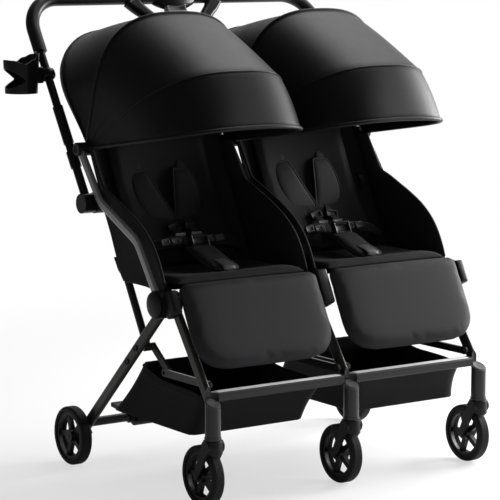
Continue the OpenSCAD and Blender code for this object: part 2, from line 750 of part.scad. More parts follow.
// Cup holder on the left handle tube: a tapered cup with a saddle rim, a window, a drain and a clamp
upper_w = handle_w * stretch_shares[3][2];
upper_t = handle_t * stretch_shares[3][3];
cup_out = cup_r + cup_wall + handle_w / 2 + grip_t;
cup_place = grip_start * stretch_shares[2][1] + cup_up;
cup_taper_share = 0.9;
saddle_shares = [1.25, 0.2];
window_shares = [0.5, 0.52];
cup_drain_share = 0.55;
clamp_wall = 3;
module cup_holder() {
    grip_place = pod + cup_place * [cos(handle_angle), sin(handle_angle)];
    x = -side_x - cup_out;
    low = grip_place[1] - cup_h / 2;
    foot = cup_r * cup_taper_share;
    color(black_colour) {
        translate([x, grip_place[0], low]) difference() {
            cylinder(r1 = foot + cup_wall, r2 = cup_r + cup_wall, h = cup_h);
            translate([0, 0, cup_wall]) cylinder(r1 = foot, r2 = cup_r, h = cup_h - cup_wall);
            translate([0, 0, cup_h]) cylinder(r = cup_r, h = over, center = true);
            translate([0, 0, cup_h * (1 + saddle_shares[1])]) rotate([90, 0, 0])
                cylinder(r = cup_r * saddle_shares[0] / 2, h = cup_r * 3, center = true);
            translate([-cup_r, 0, cup_h * window_shares[1]]) rotate([0, 90, 0])
                cylinder(d = cup_h * window_shares[0], h = cup_r, center = true);
            translate([0, 0, -over]) cylinder(r = cup_r * cup_drain_share, h = cup_wall + 2 * over);
        }
        difference() {
            union() {
                cross_bar(grip_place, x + cup_r, -side_x, handle_w);
                handle_plane() tube([-side_x, cup_place - handle_w / 2], [-side_x, cup_place + handle_w / 2],
                    upper_w + 2 * clamp_wall, upper_t + 2 * clamp_wall);
            }
            handle_plane() tube([-side_x, 0], [-side_x, handle_reach], upper_w + 2 * pin_fit, upper_t + 2 * pin_fit);
            translate([x, grip_place[0], low - over]) cylinder(r1 = foot + cup_wall / 2, r2 = cup_r + cup_wall / 2,
                h = cup_h + 2 * over);
        }
    }
}

// Seat: a stuffed pan between two side panels that follow the rails
wing_shares = [[-0.028, 0.10], [0.006, 0.22], [0.08, 0.365], [0.24, 0.507], [0.46, 0.667], [0.68, 0.78], [0.84, 0.91],
    [0.75, 0.66], [0.70, 0.36], [0.56, -0.03], [0.12, -0.03]];
module seat(hand) {
    wing_span = rail_top - seat_front;
    corner = seat_front - [0, seat_t / 2];
    color(cloth_colour) {
        translate([hand * seat_x, pan_mid[0], pan_mid[1]]) rotate([-seat_tilt, 0, 0])
            pad(seat_w - wing_t / 2, seat_len, seat_t, 0, 0);
        for (end = [-1, 1]) side(hand * seat_x + end * (seat_w - wing_t) / 2) linear_extrude(wing_t, center = true)
            polygon([for (s = wing_shares) corner + [wing_span[0] * s[0], wing_span[1] * s[1]]]);
    }
}
module seat_left() seat(-1);
module seat_right() seat(1);

// Backrest, hinged at the rear of the pan
module at_back(hand) {
    translate([hand * seat_x, recline_pivot[0], recline_pivot[1]]) rotate([back_angle, 0, 0]) children();
}
module backrest(hand) {
    color(cloth_colour) at_back(hand) translate([0, seat_gap + back_len / 2, 0])
        pad(back_w, back_len, back_t, 1, back_corner);
}
module backrest_left() backrest(-1);
module backrest_right() backrest(1);

// Harness: two shoulder pads on the backrest, closer together at their lower ends
strap_w = 54;
strap_t = 7;
strap_low_out = 30;
strap_top_out = 62;
strap_shares = [0.27, 0.66];
module harness(hand) {
    color(black_colour) at_back(hand) translate([0, 0, back_t / 2 + strap_t / 2 + seat_gap]) for (end = [-1, 1])
        tube([end * strap_low_out, back_len * strap_shares[0]], [end * strap_top_out, back_len * strap_shares[1]],
            strap_w, strap_t);
}
module harness_left() harness(-1);
module harness_right() harness(1);

// Buckles, each with a short crotch strap that stands on the pan
buckle_w = 44;
buckle_h = 38;
buckle_t = 13;
buckle_share = 0.42;
module buckles() {
    lift = (1 / 2 - buckle_share) * seat_len * tan(seat_tilt) + 2 * seat_gap;
    place = [seat_front[0] + seat_len * buckle_share, seat_front[1] + lift];
    color(black_colour) for (hand = [-1, 1]) translate([hand * seat_x, place[0], place[1]]) {
        translate([0, 0, buckle_h]) rotate([90, 0, 0])
            linear_extrude(buckle_t, center = true) oval(buckle_w, buckle_h);
        translate([0, 0, buckle_h / 2]) cube([buckle_w / 2, buckle_t / 2, buckle_h], center = true);
    }
}

// Leg rest, hung from the front of the pan
module leg_rest(hand) {
    color(cloth_colour) translate([hand * seat_x, leg_rest_pivot[0], leg_rest_pivot[1]])
        rotate([-90 - leg_rest_lean, 0, 0]) translate([0, seat_gap + leg_rest_len / 2, 0])
        pad(leg_rest_w, leg_rest_len, leg_rest_t, 0, leg_rest_corner);
}
module leg_rest_left() leg_rest(-1);
module leg_rest_right() leg_rest(1);

// Canopies: cloth over bows that stand on the pivots, each bow with straight sides and a rounded top.
// A rear panel stays, and a front panel with its visor folds back over it.
bow_side_steps = 3;
bow_arch_steps = 16;
bow_side_share = 0.4;
bow_power = 2.7;
rim_power = 3.6;
panel_steps = 4;
panel_swell = 4;
bow_gap = 0.4;
// The reach at an angle on a straight line between two bows, with a little swell
function panel_reach(a, b, s) = let (t = a[0] + (b[0] - a[0]) * s)
    sin(b[0] - a[0]) / (sin(b[0] - t) / a[1] + sin(t - a[0]) / b[1]) + panel_swell * 4 * s * (1 - s);
function panel_bows(a, b, from) = [for (k = [from : panel_steps]) let (s = k / panel_steps)
    [a[0] + (b[0] - a[0]) * s, panel_reach(a, b, s), a[2] + (b[2] - a[2]) * s]];
// One bow as points [across, along, height] from its left foot to its right foot
function bow_points(bow, half, inset) = let (
    foot = canopy_cap_d / 2, top = bow[1] - inset, low = bow[1] * bow_side_share, wide = half - inset,
    up = [for (k = [0 : bow_side_steps - 1]) foot + (low - foot) * k / bow_side_steps],
    arch = [for (k = [0 : bow_arch_steps]) let (t = 180 * (1 - k / bow_arch_steps))
        [wide * sign(cos(t)) * pow(abs(cos(t)), 2 / bow[2]), low + (top - low) * pow(sin(t), 2 / bow[2])]],
    line = concat([for (t = up) [-wide, t]], arch, [for (k = [len(up) - 1 : -1 : 0]) [wide, up[k]]]))
    [for (p = line) [p[0], rail_top[0] + p[1] * cos(bow[0]), rail_top[1] + p[1] * sin(bow[0])]];
module cloth_shell(bows, half) {
    rows = len(bows);
    cols = 2 * bow_side_steps + bow_arch_steps + 1;
    count = rows * cols;
    points = [for (inset = [0, canopy_wall], bow = bows) each bow_points(bow, half, inset)];
    outer = [for (j = [0 : rows - 2], i = [0 : cols - 2], part = [0, 1]) let (a = j * cols + i)
        part == 0 ? [a, a + 1, a + cols + 1] : [a, a + cols + 1, a + cols]];
    inner = [for (f = outer) [f[0] + count, f[2] + count, f[1] + count]];
    rim = concat([for (i = [0 : cols - 2]) i], [for (j = [0 : rows - 2]) j * cols + cols - 1],
        [for (i = [cols - 1 : -1 : 1]) (rows - 1) * cols + i], [for (j = [rows - 1 : -1 : 1]) j * cols]);
    edge = [for (k = [0 : len(rim) - 1], part = [0, 1]) let (a = rim[k], b = rim[(k + 1) % len(rim)])
        part == 0 ? [a, b + count, b] : [a, a + count, b + count]];
    polyhedron(points, concat(outer, inner, edge));
}
module canopy_rear(hand) {
    bows = panel_bows([bow_rear_angle, rear_reach, bow_power], [bow_mid_angle, mid_reach, bow_power], 0);
    color(cloth_colour) translate([hand * seat_x, 0, 0]) cloth_shell(bows, canopy_half);
}
module canopy_front(hand) {
    mid = [bow_mid_angle + bow_gap, mid_reach + 2 * canopy_slip, bow_power];
    seam = [seam_angle, seam_reach, bow_power];
    rim = [rim_angle, rim_reach, rim_power];
    bows = concat(panel_bows(mid, seam, 0), panel_bows(seam, rim, 1));
    color(cloth_colour) translate([hand * seat_x, 0, 0]) cloth_shell(bows, canopy_half + canopy_slip);
}
module canopy_rear_left() canopy_rear(-1);
module canopy_rear_right() canopy_rear(1);
module canopy_front_left() canopy_front(-1);
module canopy_front_right() canopy_front(1);

// Canopy pivots on the upper ends of the rails
module canopy_pivots() {
    outer_from = seat_x + canopy_half - canopy_wall * 2;
    middle_half = seat_x - canopy_half + canopy_wall * 2;
    color(black_colour) {
        for (hand = [-1, 1])
            cross_bar(rail_top, hand * outer_from, hand * (rail_x + rail_t), canopy_cap_d - run_gap);
        cross_bar(rail_top, -middle_half, middle_half, canopy_cap_d - run_gap);
    }
}

// Baskets under the seats: an open shell, deeper at the front
basket_in = link_offset + brace_t;
basket_out = front_leg_x - link_offset - brace_t;
basket_x = (basket_in + basket_out) / 2;
basket_w = basket_out - basket_in;
basket_low_shares = [[0, 0], [1, 0.02]];
basket_rim_shares = [[0.98, 0.62], [0.62, 0.92]];
basket_front = front_axle[0] + caster_trail + leg_w / 2;
basket_height = leg_pivot[1] - basket_floor;
function basket_point(share) = [basket_front + basket_len * share[0], basket_floor + basket_height * share[1]];
module basket_outline(wall) {
    low = [for (s = basket_low_shares) basket_point(s)];
    hung = front_bar_point + [front_bar_w / 2 + seat_gap, 0];
    rim = concat([for (s = basket_rim_shares) basket_point(s)], [hung]);
    rise = wall > 0 ? basket_height : 0;
    polygon([low[0] + [wall, wall], low[1] + [-wall, wall], rim[0] + [-wall, 0], rim[0] + [-wall, rise],
        rim[2] + [wall, rise], rim[2] + [wall, 0]]);
    if (wall == 0) polygon(rim);
}
module basket(hand) {
    color(cloth_colour) difference() {
        side(hand * basket_x) linear_extrude(basket_w, center = true) basket_outline(0);
        side(hand * basket_x) linear_extrude(basket_w - 2 * basket_wall, center = true) basket_outline(basket_wall);
    }
}
module basket_left() basket(-1);
module basket_right() basket(1);

rear_leg_left();
rear_leg_right();
rear_leg_middle();
main_hinge_left();
main_hinge_right();
main_hinge_middle();
seat_rail_left();
seat_rail_right();
seat_rail_middle();
back_tubes();
fold_pods();
link_pins();
rear_crossbar();
wheel_brackets();
brake_housing();
brake_pedal();
rear_rim_left();
rear_rim_right();
rear_tyre_left();
rear_tyre_right();
seat_left();
seat_right();
backrest_left();
backrest_right();
harness_left();
harness_right();
buckles();
leg_rest_left();
leg_rest_right();
canopy_rear_left();
canopy_rear_right();
canopy_front_left();
canopy_front_right();
canopy_pivots();
basket_left();
basket_right();
handle_tube_left();
handle_tube_right();
handle_bar();
handle_yoke();
release_pod();
release_button();
cup_holder();
front_leg_left();
front_leg_middle();
front_leg_right();
caster_sockets();
front_bars();
brace_rails();
brace_links();
caster_fork_left();
caster_fork_middle();
caster_fork_right();
front_rim_left();
front_rim_middle();
front_rim_right();
front_tyre_left();
front_tyre_middle();
front_tyre_right();
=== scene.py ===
import bpy, bmesh, json, math
from mathutils import Matrix, Vector


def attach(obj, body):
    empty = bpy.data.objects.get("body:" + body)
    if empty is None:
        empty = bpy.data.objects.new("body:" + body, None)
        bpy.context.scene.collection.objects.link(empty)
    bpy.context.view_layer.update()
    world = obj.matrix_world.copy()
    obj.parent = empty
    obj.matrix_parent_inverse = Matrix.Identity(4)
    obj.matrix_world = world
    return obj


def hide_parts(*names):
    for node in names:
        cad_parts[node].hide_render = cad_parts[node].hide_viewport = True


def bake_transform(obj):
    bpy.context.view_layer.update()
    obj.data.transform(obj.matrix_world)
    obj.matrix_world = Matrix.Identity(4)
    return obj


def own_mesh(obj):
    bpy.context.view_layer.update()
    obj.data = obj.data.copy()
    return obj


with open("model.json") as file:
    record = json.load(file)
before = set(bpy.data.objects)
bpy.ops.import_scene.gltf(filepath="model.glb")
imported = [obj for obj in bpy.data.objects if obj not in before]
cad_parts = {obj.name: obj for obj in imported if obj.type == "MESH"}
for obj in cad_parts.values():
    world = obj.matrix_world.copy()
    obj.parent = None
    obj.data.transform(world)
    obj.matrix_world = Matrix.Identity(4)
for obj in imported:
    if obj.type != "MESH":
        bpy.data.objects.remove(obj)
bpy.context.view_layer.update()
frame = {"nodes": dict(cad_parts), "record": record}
nodes = frame["nodes"]
print("frame loaded:", len(nodes), "nodes")

seatPlace = 0.182      # middle of a seat from the middle of the stroller
hands = {"left": -1, "right": 1}


# Mesh helpers
def deselectAll():
    if bpy.context.object and bpy.context.object.mode != "OBJECT":
        bpy.ops.object.mode_set(mode="OBJECT")
    bpy.ops.object.select_all(action="DESELECT")


def makeActive(obj):
    deselectAll()
    obj.select_set(True)
    bpy.context.view_layer.objects.active = obj


def addMesh(name, points, faces):
    mesh = bpy.data.meshes.new(name)
    mesh.from_pydata([tuple(p) for p in points], [], faces)
    mesh.validate()
    obj = bpy.data.objects.new(name, mesh)
    bpy.context.collection.objects.link(obj)
    mesh.shade_smooth()
    return obj


def addGrid(name, rows, closeRows=False, closeAcross=False):
    across = len(rows[0])
    points = [p for row in rows for p in row]
    faces = []
    for j in range(len(rows) if closeRows else len(rows) - 1):
        k = (j + 1) % len(rows)
        for i in range(across if closeAcross else across - 1):
            n = (i + 1) % across
            faces.append((j * across + i, j * across + n, k * across + n, k * across + i))
    return addMesh(name, points, faces)


def faceOutwards(obj):
    makeActive(obj)
    bpy.ops.object.mode_set(mode="EDIT")
    bpy.ops.mesh.select_all(action="SELECT")
    bpy.ops.mesh.remove_doubles(threshold=0.00001)
    bpy.ops.mesh.normals_make_consistent(inside=False)
    bpy.ops.object.mode_set(mode="OBJECT")


def addModifier(obj, kind, **settings):
    makeActive(obj)
    modifier = obj.modifiers.new(kind.lower(), kind)
    for key, value in settings.items():
        setattr(modifier, key, value)
    bpy.ops.object.modifier_apply(modifier=modifier.name)


def thicken(obj, wall, offset=0):
    addModifier(obj, "SOLIDIFY", thickness=wall, offset=offset, use_even_offset=True)


def soften(obj, levels=1):
    addModifier(obj, "SUBSURF", levels=levels, render_levels=levels)


def smoothLine(points, count):
    # Catmull-Rom curve through the points, then evenly spaced
    pts = [Vector(p) for p in points]
    pts = [pts[0] * 2 - pts[1]] + pts + [pts[-1] * 2 - pts[-2]]
    fine = []
    for i in range(1, len(pts) - 2):
        a, b, c, d = pts[i - 1:i + 3]
        for k in range(16):
            t = k / 16
            fine.append(0.5 * (2 * b + (c - a) * t + (2 * a - 5 * b + 4 * c - d) * t * t
                               + (3 * b - a - 3 * c + d) * t ** 3))
    fine.append(pts[-2])
    return evenLine(fine, count)


def evenLine(points, count):
    pts = [Vector(p) for p in points]
    lengths = [0]
    for a, b in zip(pts, pts[1:]):
        lengths.append(lengths[-1] + (b - a).length)
    out, k = [], 0
    for i in range(count):
        want = lengths[-1] * i / (count - 1)
        while k < len(pts) - 2 and lengths[k + 1] < want:
            k += 1
        step = max(lengths[k + 1] - lengths[k], 1e-9)
        out.append(pts[k].lerp(pts[k + 1], (want - lengths[k]) / step))
    return out


def addTube(name, points, radius, sides=8, flat=1.0, flatWay=None, closed=False):
    # a tube along a line; flat squeezes it along flatWay
    pts = [Vector(p) for p in points]
    rows = []
    side = None
    for i, p in enumerate(pts):
        if closed:
            way = (pts[(i + 1) % len(pts)] - pts[i - 1]).normalized()
        else:
            way = (pts[min(i + 1, len(pts) - 1)] - pts[max(i - 1, 0)]).normalized()
        if flatWay is not None:
            up = Vector(flatWay)
            up = (up - way * up.dot(way)).normalized()
        else:
            guess = side
            if guess is None:
                guess = Vector((1, 0, 0)) if abs(way.x) < 0.9 else Vector((0, 0, 1))
            up = (guess - way * guess.dot(way)).normalized()
            side = up
        over = way.cross(up)
        r = radius[i] if isinstance(radius, list) else radius
        rows.append([p + up * (r * flat * math.sin(a)) + over * (r * math.cos(a))
                     for a in (2 * math.pi * k / sides for k in range(sides))])
    obj = addGrid(name, rows, closeRows=closed, closeAcross=True)
    if not closed:
        mesh = bmesh.new()
        mesh.from_mesh(obj.data)
        bmesh.ops.holes_fill(mesh, edges=[e for e in mesh.edges if e.is_boundary], sides=0)
        mesh.to_mesh(obj.data)
        mesh.free()
    faceOutwards(obj)
    obj.data.shade_smooth()
    return obj


def joined(name, pieces):
    deselectAll()
    for p in pieces:
        p.select_set(True)
    bpy.context.view_layer.objects.active = pieces[0]
    bpy.ops.object.join()
    pieces[0].name = name
    return pieces[0]


def copied(obj, name):
    twin = obj.copy()
    twin.data = obj.data.copy()
    twin.name = name
    bpy.context.collection.objects.link(twin)
    return twin


def between(pair, share):
    return pair[0] + (pair[1] - pair[0]) * share


# Materials
def newFinish(name, colour, rough, metal=0.0):
    mat = bpy.data.materials.new(name)
    mat.use_nodes = True
    tree = mat.node_tree
    shader = tree.nodes["Principled BSDF"]
    shader.inputs["Base Color"].default_value = (*colour, 1)
    shader.inputs["Roughness"].default_value = rough
    shader.inputs["Metallic"].default_value = metal
    return mat, tree, shader


def addNode(tree, kind, **settings):
    node = tree.nodes.new(kind)
    for key, value in settings.items():
        if key in node.inputs:
            node.inputs[key].default_value = value
        else:
            setattr(node, key, value)
    return node


def placeOf(tree, stretch=(1, 1, 1), turn=(0, 0, 0)):
    where = addNode(tree, "ShaderNodeTexCoord")
    mapping = addNode(tree, "ShaderNodeMapping", Scale=stretch, Rotation=turn)
    tree.links.new(where.outputs["Object"], mapping.inputs["Vector"])
    return mapping.outputs["Vector"]


def ramp(tree, source, low, high):
    node = addNode(tree, "ShaderNodeMapRange")
    node.inputs["To Min"].default_value = low
    node.inputs["To Max"].default_value = high
    tree.links.new(source, node.inputs["Value"])
    return node.outputs["Result"]


def colourBlend(tree, source, dark, light):
    node = addNode(tree, "ShaderNodeMix", data_type="RGBA")
    node.inputs[6].default_value = (*dark, 1)
    node.inputs[7].default_value = (*light, 1)
    tree.links.new(source, node.inputs[0])
    return node.outputs[2]


def addBump(tree, shader, height, strength, distance):
    bump = addNode(tree, "ShaderNodeBump", Strength=strength, Distance=distance)
    tree.links.new(height, bump.inputs["Height"])
    tree.links.new(bump.outputs["Normal"], shader.inputs["Normal"])


weaveLook = {"waver": 0.6, "slub": 38.0, "turn": (0.7, 0, 0), "threadShare": 0.45, "slubShare": 0.7,
             "roughSpread": 0.04, "sheenRough": 0.4, "relief": 0.3}


def clothFinish(name, colour, light, threads, rough, gloss, sheen, bumpDepth):
    # woven cloth: fine warp and weft, a cloudy slub and a soft sheen
    mat, tree, shader = newFinish(name, colour, rough)
    warp = addNode(tree, "ShaderNodeTexWave", wave_type="BANDS", bands_direction="X", Scale=threads,
                   Distortion=weaveLook["waver"])
    weft = addNode(tree, "ShaderNodeTexWave", wave_type="BANDS", bands_direction="Z", Scale=threads,
                   Distortion=weaveLook["waver"])
    weave = addNode(tree, "ShaderNodeMath", operation="MULTIPLY")
    slub = addNode(tree, "ShaderNodeTexNoise", Scale=weaveLook["slub"], Detail=4.0)
    place = placeOf(tree)
    turned = placeOf(tree, turn=weaveLook["turn"])
    tree.links.new(place, warp.inputs["Vector"])
    tree.links.new(turned, weft.inputs["Vector"])
    tree.links.new(place, slub.inputs["Vector"])
    tree.links.new(warp.outputs["Fac"], weave.inputs[0])
    tree.links.new(weft.outputs["Fac"], weave.inputs[1])
    mixed = addNode(tree, "ShaderNodeMath", operation="MULTIPLY_ADD")
    mixed.inputs[1].default_value = weaveLook["threadShare"]
    tree.links.new(weave.outputs["Value"], mixed.inputs[0])
    tree.links.new(ramp(tree, slub.outputs["Fac"], 0.0, weaveLook["slubShare"]), mixed.inputs[2])
    tree.links.new(colourBlend(tree, mixed.outputs["Value"], colour, light), shader.inputs["Base Color"])
    spread = weaveLook["roughSpread"]
    tree.links.new(ramp(tree, slub.outputs["Fac"], rough - spread, rough + spread),
                   shader.inputs["Roughness"])
    shader.inputs["Sheen Weight"].default_value = sheen
    shader.inputs["Sheen Roughness"].default_value = weaveLook["sheenRough"]
    shader.inputs["Specular IOR Level"].default_value = gloss
    addBump(tree, shader, weave.outputs["Value"], weaveLook["relief"], bumpDepth)
    return mat


grainLook = {"cloud": 14.0, "smoother": 0.1, "rougher": 0.12}


def grainFinish(name, colour, light, rough, metal, gloss, grain, bumpStrength, bumpDepth, stretch=(1, 1, 1)):
    # moulded plastic, rubber or metal: cloudy colour and roughness over a fine grain
    mat, tree, shader = newFinish(name, colour, rough, metal)
    place = placeOf(tree, stretch)
    fine = addNode(tree, "ShaderNodeTexNoise", Scale=grain, Detail=3.0, Roughness=0.6)
    broad = addNode(tree, "ShaderNodeTexNoise", Scale=grainLook["cloud"], Detail=5.0)
    tree.links.new(place, fine.inputs["Vector"])
    tree.links.new(place, broad.inputs["Vector"])
    tree.links.new(colourBlend(tree, broad.outputs["Fac"], colour, light), shader.inputs["Base Color"])
    cloudy = ramp(tree, broad.outputs["Fac"], rough - grainLook["smoother"], rough + grainLook["rougher"])
    tree.links.new(cloudy, shader.inputs["Roughness"])
    shader.inputs["Specular IOR Level"].default_value = gloss
    addBump(tree, shader, fine.outputs["Fac"], bumpStrength, bumpDepth)
    return mat


leatherLook = {"plain": 0.5, "pores": 420.0, "cloud": 30.0, "rough": (0.26, 0.4), "gloss": 0.3,
               "relief": (0.2, 0.0006)}


def leatherFinish(name, colour, light):
    # the cover of the handle bar: fine pores and a cloudy polish
    mat, tree, shader = newFinish(name, colour, leatherLook["plain"])
    place = placeOf(tree)
    pores = addNode(tree, "ShaderNodeTexVoronoi", feature="DISTANCE_TO_EDGE", Scale=leatherLook["pores"])
    cloud = addNode(tree, "ShaderNodeTexNoise", Scale=leatherLook["cloud"], Detail=4.0)
    tree.links.new(place, pores.inputs["Vector"])
    tree.links.new(place, cloud.inputs["Vector"])
    tree.links.new(colourBlend(tree, cloud.outputs["Fac"], colour, light), shader.inputs["Base Color"])
    tree.links.new(ramp(tree, cloud.outputs["Fac"], *leatherLook["rough"]), shader.inputs["Roughness"])
    shader.inputs["Specular IOR Level"].default_value = leatherLook["gloss"]
    addBump(tree, shader, pores.outputs["Distance"], *leatherLook["relief"])
    return mat


brushed = (0.04, 1, 1)  # stretches the grain along a bar
# dark and light colour, then for a grain its roughness, metal, gloss, fineness, bump and bump depth,
# and for a cloth its threads, roughness, gloss, sheen and bump depth
finishes = {
    "frame_metal": grainFinish("gunmetalPaint", (0.036, 0.034, 0.033), (0.052, 0.049, 0.047),
                               0.36, 0.75, 0.25, 700, 0.12, 0.0004),
    "black_plastic": grainFinish("mouldedBlack", (0.006, 0.006, 0.0065), (0.010, 0.010, 0.0105),
                                 0.42, 0.0, 0.16, 900, 0.25, 0.0004),
    "gloss_black": grainFinish("glossBlack", (0.005, 0.005, 0.0055), (0.008, 0.008, 0.0085),
                               0.24, 0.0, 0.22, 260, 0.05, 0.0003),
    "bright_metal": grainFinish("brushedAluminium", (0.5, 0.5, 0.51), (0.66, 0.66, 0.67),
                                0.32, 1.0, 0.5, 500, 0.15, 0.0003, brushed),
    "button": grainFinish("greyButton", (0.16, 0.16, 0.165), (0.2, 0.2, 0.205),
                          0.4, 0.0, 0.3, 800, 0.2, 0.0003),
    "grip": leatherFinish("gripLeather", (0.005, 0.005, 0.005), (0.010, 0.0098, 0.0098)),
    "seat_cloth": clothFinish("seatCloth", (0.010, 0.010, 0.0105), (0.018, 0.018, 0.019),
                              320, 0.7, 0.06, 0.03, 0.0003),
    "leg_rest_cloth": clothFinish("legRestCloth", (0.0145, 0.0141, 0.0158), (0.0215, 0.0209, 0.0232),
                                  420, 0.6, 0.1, 0.04, 0.0002),
    "canopy_cloth": clothFinish("canopyCloth", (0.004, 0.004, 0.0042), (0.007, 0.007, 0.0073),
                                360, 0.46, 0.17, 0.02, 0.0002),
    "basket_cloth": clothFinish("basketMesh", (0.009, 0.0088, 0.009), (0.017, 0.0165, 0.017),
                                640, 0.7, 0.08, 0.05, 0.0003),
    "strap_cloth": clothFinish("strapWebbing", (0.0105, 0.0105, 0.011), (0.021, 0.021, 0.022),
                               520, 0.6, 0.1, 0.05, 0.0004),
    # painted highlight: a near-white strip standing in for the light on the top of each front bar
    "trim": grainFinish("paintedBarHighlight", (0.72, 0.72, 0.725), (0.86, 0.86, 0.865),
                        0.34, 0.0, 0.5, 500, 0.1, 0.0003, brushed),
    "clip": grainFinish("satinClip", (0.045, 0.045, 0.047), (0.065, 0.065, 0.067),
                        0.38, 0.0, 0.3, 800, 0.2, 0.0003),
    "tyre": grainFinish("foamTyre", (0.007, 0.007, 0.007), (0.012, 0.012, 0.012),
                        0.6, 0.0, 0.14, 380, 0.3, 0.0006),
}
# solids whose photographed finish differs from the one of their slot; the seat rails get a lighter copy of
# the gunmetal, which is a painted highlight
ownFinish = {"front_bars": grainFinish("satinBar", (0.018, 0.018, 0.0182), (0.026, 0.026, 0.0263),
                                       0.34, 0.0, 0.22, 500, 0.1, 0.0003, brushed)}
# painted highlight: the rails' lighter gunmetal stands in for the light that falls on their upper faces
railPaintedHighlight = grainFinish("railPaintedHighlight", (0.27, 0.26, 0.257), (0.34, 0.33, 0.324),
                        0.36, 0.85, 0.4, 700, 0.12, 0.0004)
ownFinish.update({"seat_rail_" + place: railPaintedHighlight for place in ("left", "middle", "right")})
glossTubes = ("handle_tube_left", "handle_tube_right", "handle_yoke")
ownFinish.update({node: finishes["gloss_black"] for node in glossTubes})
ownFinish["caster_sockets"] = grainFinish("socketPaint", (0.030, 0.0293, 0.029), (0.042, 0.0412, 0.0405),
                                          0.32, 0.5, 0.3, 700, 0.15, 0.0004)
ownFinish["canopy_pivots"] = finishes["black_plastic"]
for row in frame["record"]["subparts"]:
    mesh = nodes[row["node"]].data
    mesh.materials.clear()
    mesh.materials.append(ownFinish.get(row["node"], finishes[row["material_slot"]]))
print("finishes made:", len(finishes))


def dress(piece, slotName, body, *replaced):
    # finish, slot, body and replaced solids of one new piece
    piece.data.materials.clear()
    piece.data.materials.append(finishes[slotName])
    if body:
        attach(piece, body)
    if replaced:
        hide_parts(*replaced)
    return piece


# Canopies: cloth over bows that all stand on the pivot, each bow with an angle and a reach
canopy = {
    "pivot": (0.184, 0.666), "half": 0.166, "slip": 0.004, "rearSlip": 0.0030, "foot": 0.0155,
    "sideShare": 0.4,
    "power": 2.7, "rimPower": 3.6, "swell": 0.004, "wall": 0.0024, "across": 61, "rimDroop": 1.3,
    "hem": (46.2, 0.302), "rear": (51.0, 0.299), "mid": (105.5, 0.280), "seam": (151.5, 0.352),
    "rim": (170.4, 0.364),
    "rearPower": 2.2, "rearSwell": 0.003, "rearKeep": 0.92, "rearMid": (105.5, 0.2848), "rearMeet": -0.0006,
    "midTurn": 0.5, "crease": 0.0016, "creaseReach": 0.07, "creaseTurn": 0.9, "sideSteps": 12, "topSteps": 96,
    "weltRadius": {"rear": 0.0026, "mid": 0.0034, "seam": 0.0016, "rim": 0.0046},
}


def bowLine(angle, reach, power, half, droop=0.0):
    # one bow from its left foot over the top to its right foot
    pivot, low, foot = Vector(canopy["pivot"]), reach * canopy["sideShare"], canopy["foot"]
    sides, tops = canopy["sideSteps"], canopy["topSteps"]
    line = [(-half, foot + (low - foot) * k / sides) for k in range(sides)]
    for k in range(tops + 1):
        a = math.pi * (1 - k / tops)
        line.append((half * math.copysign(abs(math.cos(a)) ** (2 / power), math.cos(a)),
                     low + (reach - low) * max(math.sin(a), 0) ** (2 / power)))
    line += [(half, foot + (low - foot) * k / sides) for k in range(sides - 1, -1, -1)]
    out = []
    for q in evenLine([(x, t, 0) for x, t in line], canopy["across"]):
        turn = math.radians(angle + droop * (q.x / half) ** 2)
        near = math.exp(-q.y / canopy["creaseReach"]) * canopy["crease"]
        near *= math.sin(angle * canopy["creaseTurn"])
        out.append(Vector((q.x - math.copysign(abs(near), q.x), pivot.x + q.y * math.cos(turn),
                           pivot.y + q.y * math.sin(turn))))
    return out


def stretchedBows(a, b, halves, steps, powers, droops=(0, 0), swell=canopy["swell"]):
    # bows on the straight line between two bows, with a little swell between them
    rows = []
    turn = math.radians(b[0] - a[0])
    for k in range(steps + 1):
        f = k / steps
        reach = math.sin(turn) / (math.sin(turn * (1 - f)) / a[1] + math.sin(turn * f) / b[1])
        rows.append(bowLine(between((a[0], b[0]), f), reach + swell * 4 * f * (1 - f), between(powers, f),
                            between(halves, f), between(droops, f)))
    return rows


def buildCanopies():
    plain, rimPower, half = canopy["power"], canopy["rimPower"], canopy["half"]
    wide = half + canopy["slip"]
    midFront = (canopy["mid"][0] + canopy["midTurn"], canopy["mid"][1] + 2 * canopy["slip"])
    narrow = half - canopy["rearSlip"]
    for side, hand in hands.items():
        shift = Vector((hand * seatPlace, 0, 0))
        rearRows = stretchedBows(canopy["hem"], canopy["rear"], (narrow, narrow), 2,
                                 (canopy["rearPower"],) * 2)[:-1]
        rearRows += stretchedBows(canopy["rear"], canopy["rearMid"], (narrow, half + canopy["rearMeet"]), 16,
                                  (canopy["rearPower"], plain), swell=canopy["rearSwell"])
        frontRows = stretchedBows(midFront, canopy["seam"], (wide, wide), 16, (plain, plain))
        visorRows = stretchedBows(canopy["seam"], canopy["rim"], (wide, wide), 10, (plain, rimPower),
                                  (0, canopy["rimDroop"]))
        rear = addGrid("canopyRear_" + side, rearRows)
        front = addGrid("canopyFront_" + side, frontRows + visorRows[1:])
        for piece, body, node in ((rear, "frame", "canopy_rear_"),
                                  (front, "canopy_" + side, "canopy_front_")):
            faceOutwards(piece)
            thicken(piece, canopy["wall"], -1)
            piece.data.shade_smooth()
            piece.data.transform(Matrix.Translation(shift))
            dress(piece, "canopy_cloth", body, node + side)
        welts = []
        for line, name, body in ((rearRows[2], "rear", "frame"), (frontRows[0], "mid", "canopy_" + side),
                                 (visorRows[0], "seam", "canopy_" + side),
                                 (visorRows[-1], "rim", "canopy_" + side)):
            welt = addTube("canopyWelt_%s_%s" % (side, name), [q + shift for q in line],
                           canopy["weltRadius"][name], 8)
            welts.append(dress(welt, "canopy_cloth", body))
        for part in (rear, welts[0]):  # the rear bow dips under the front panel when that folds back
            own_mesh(part)
    print("canopies built")


buildCanopies()


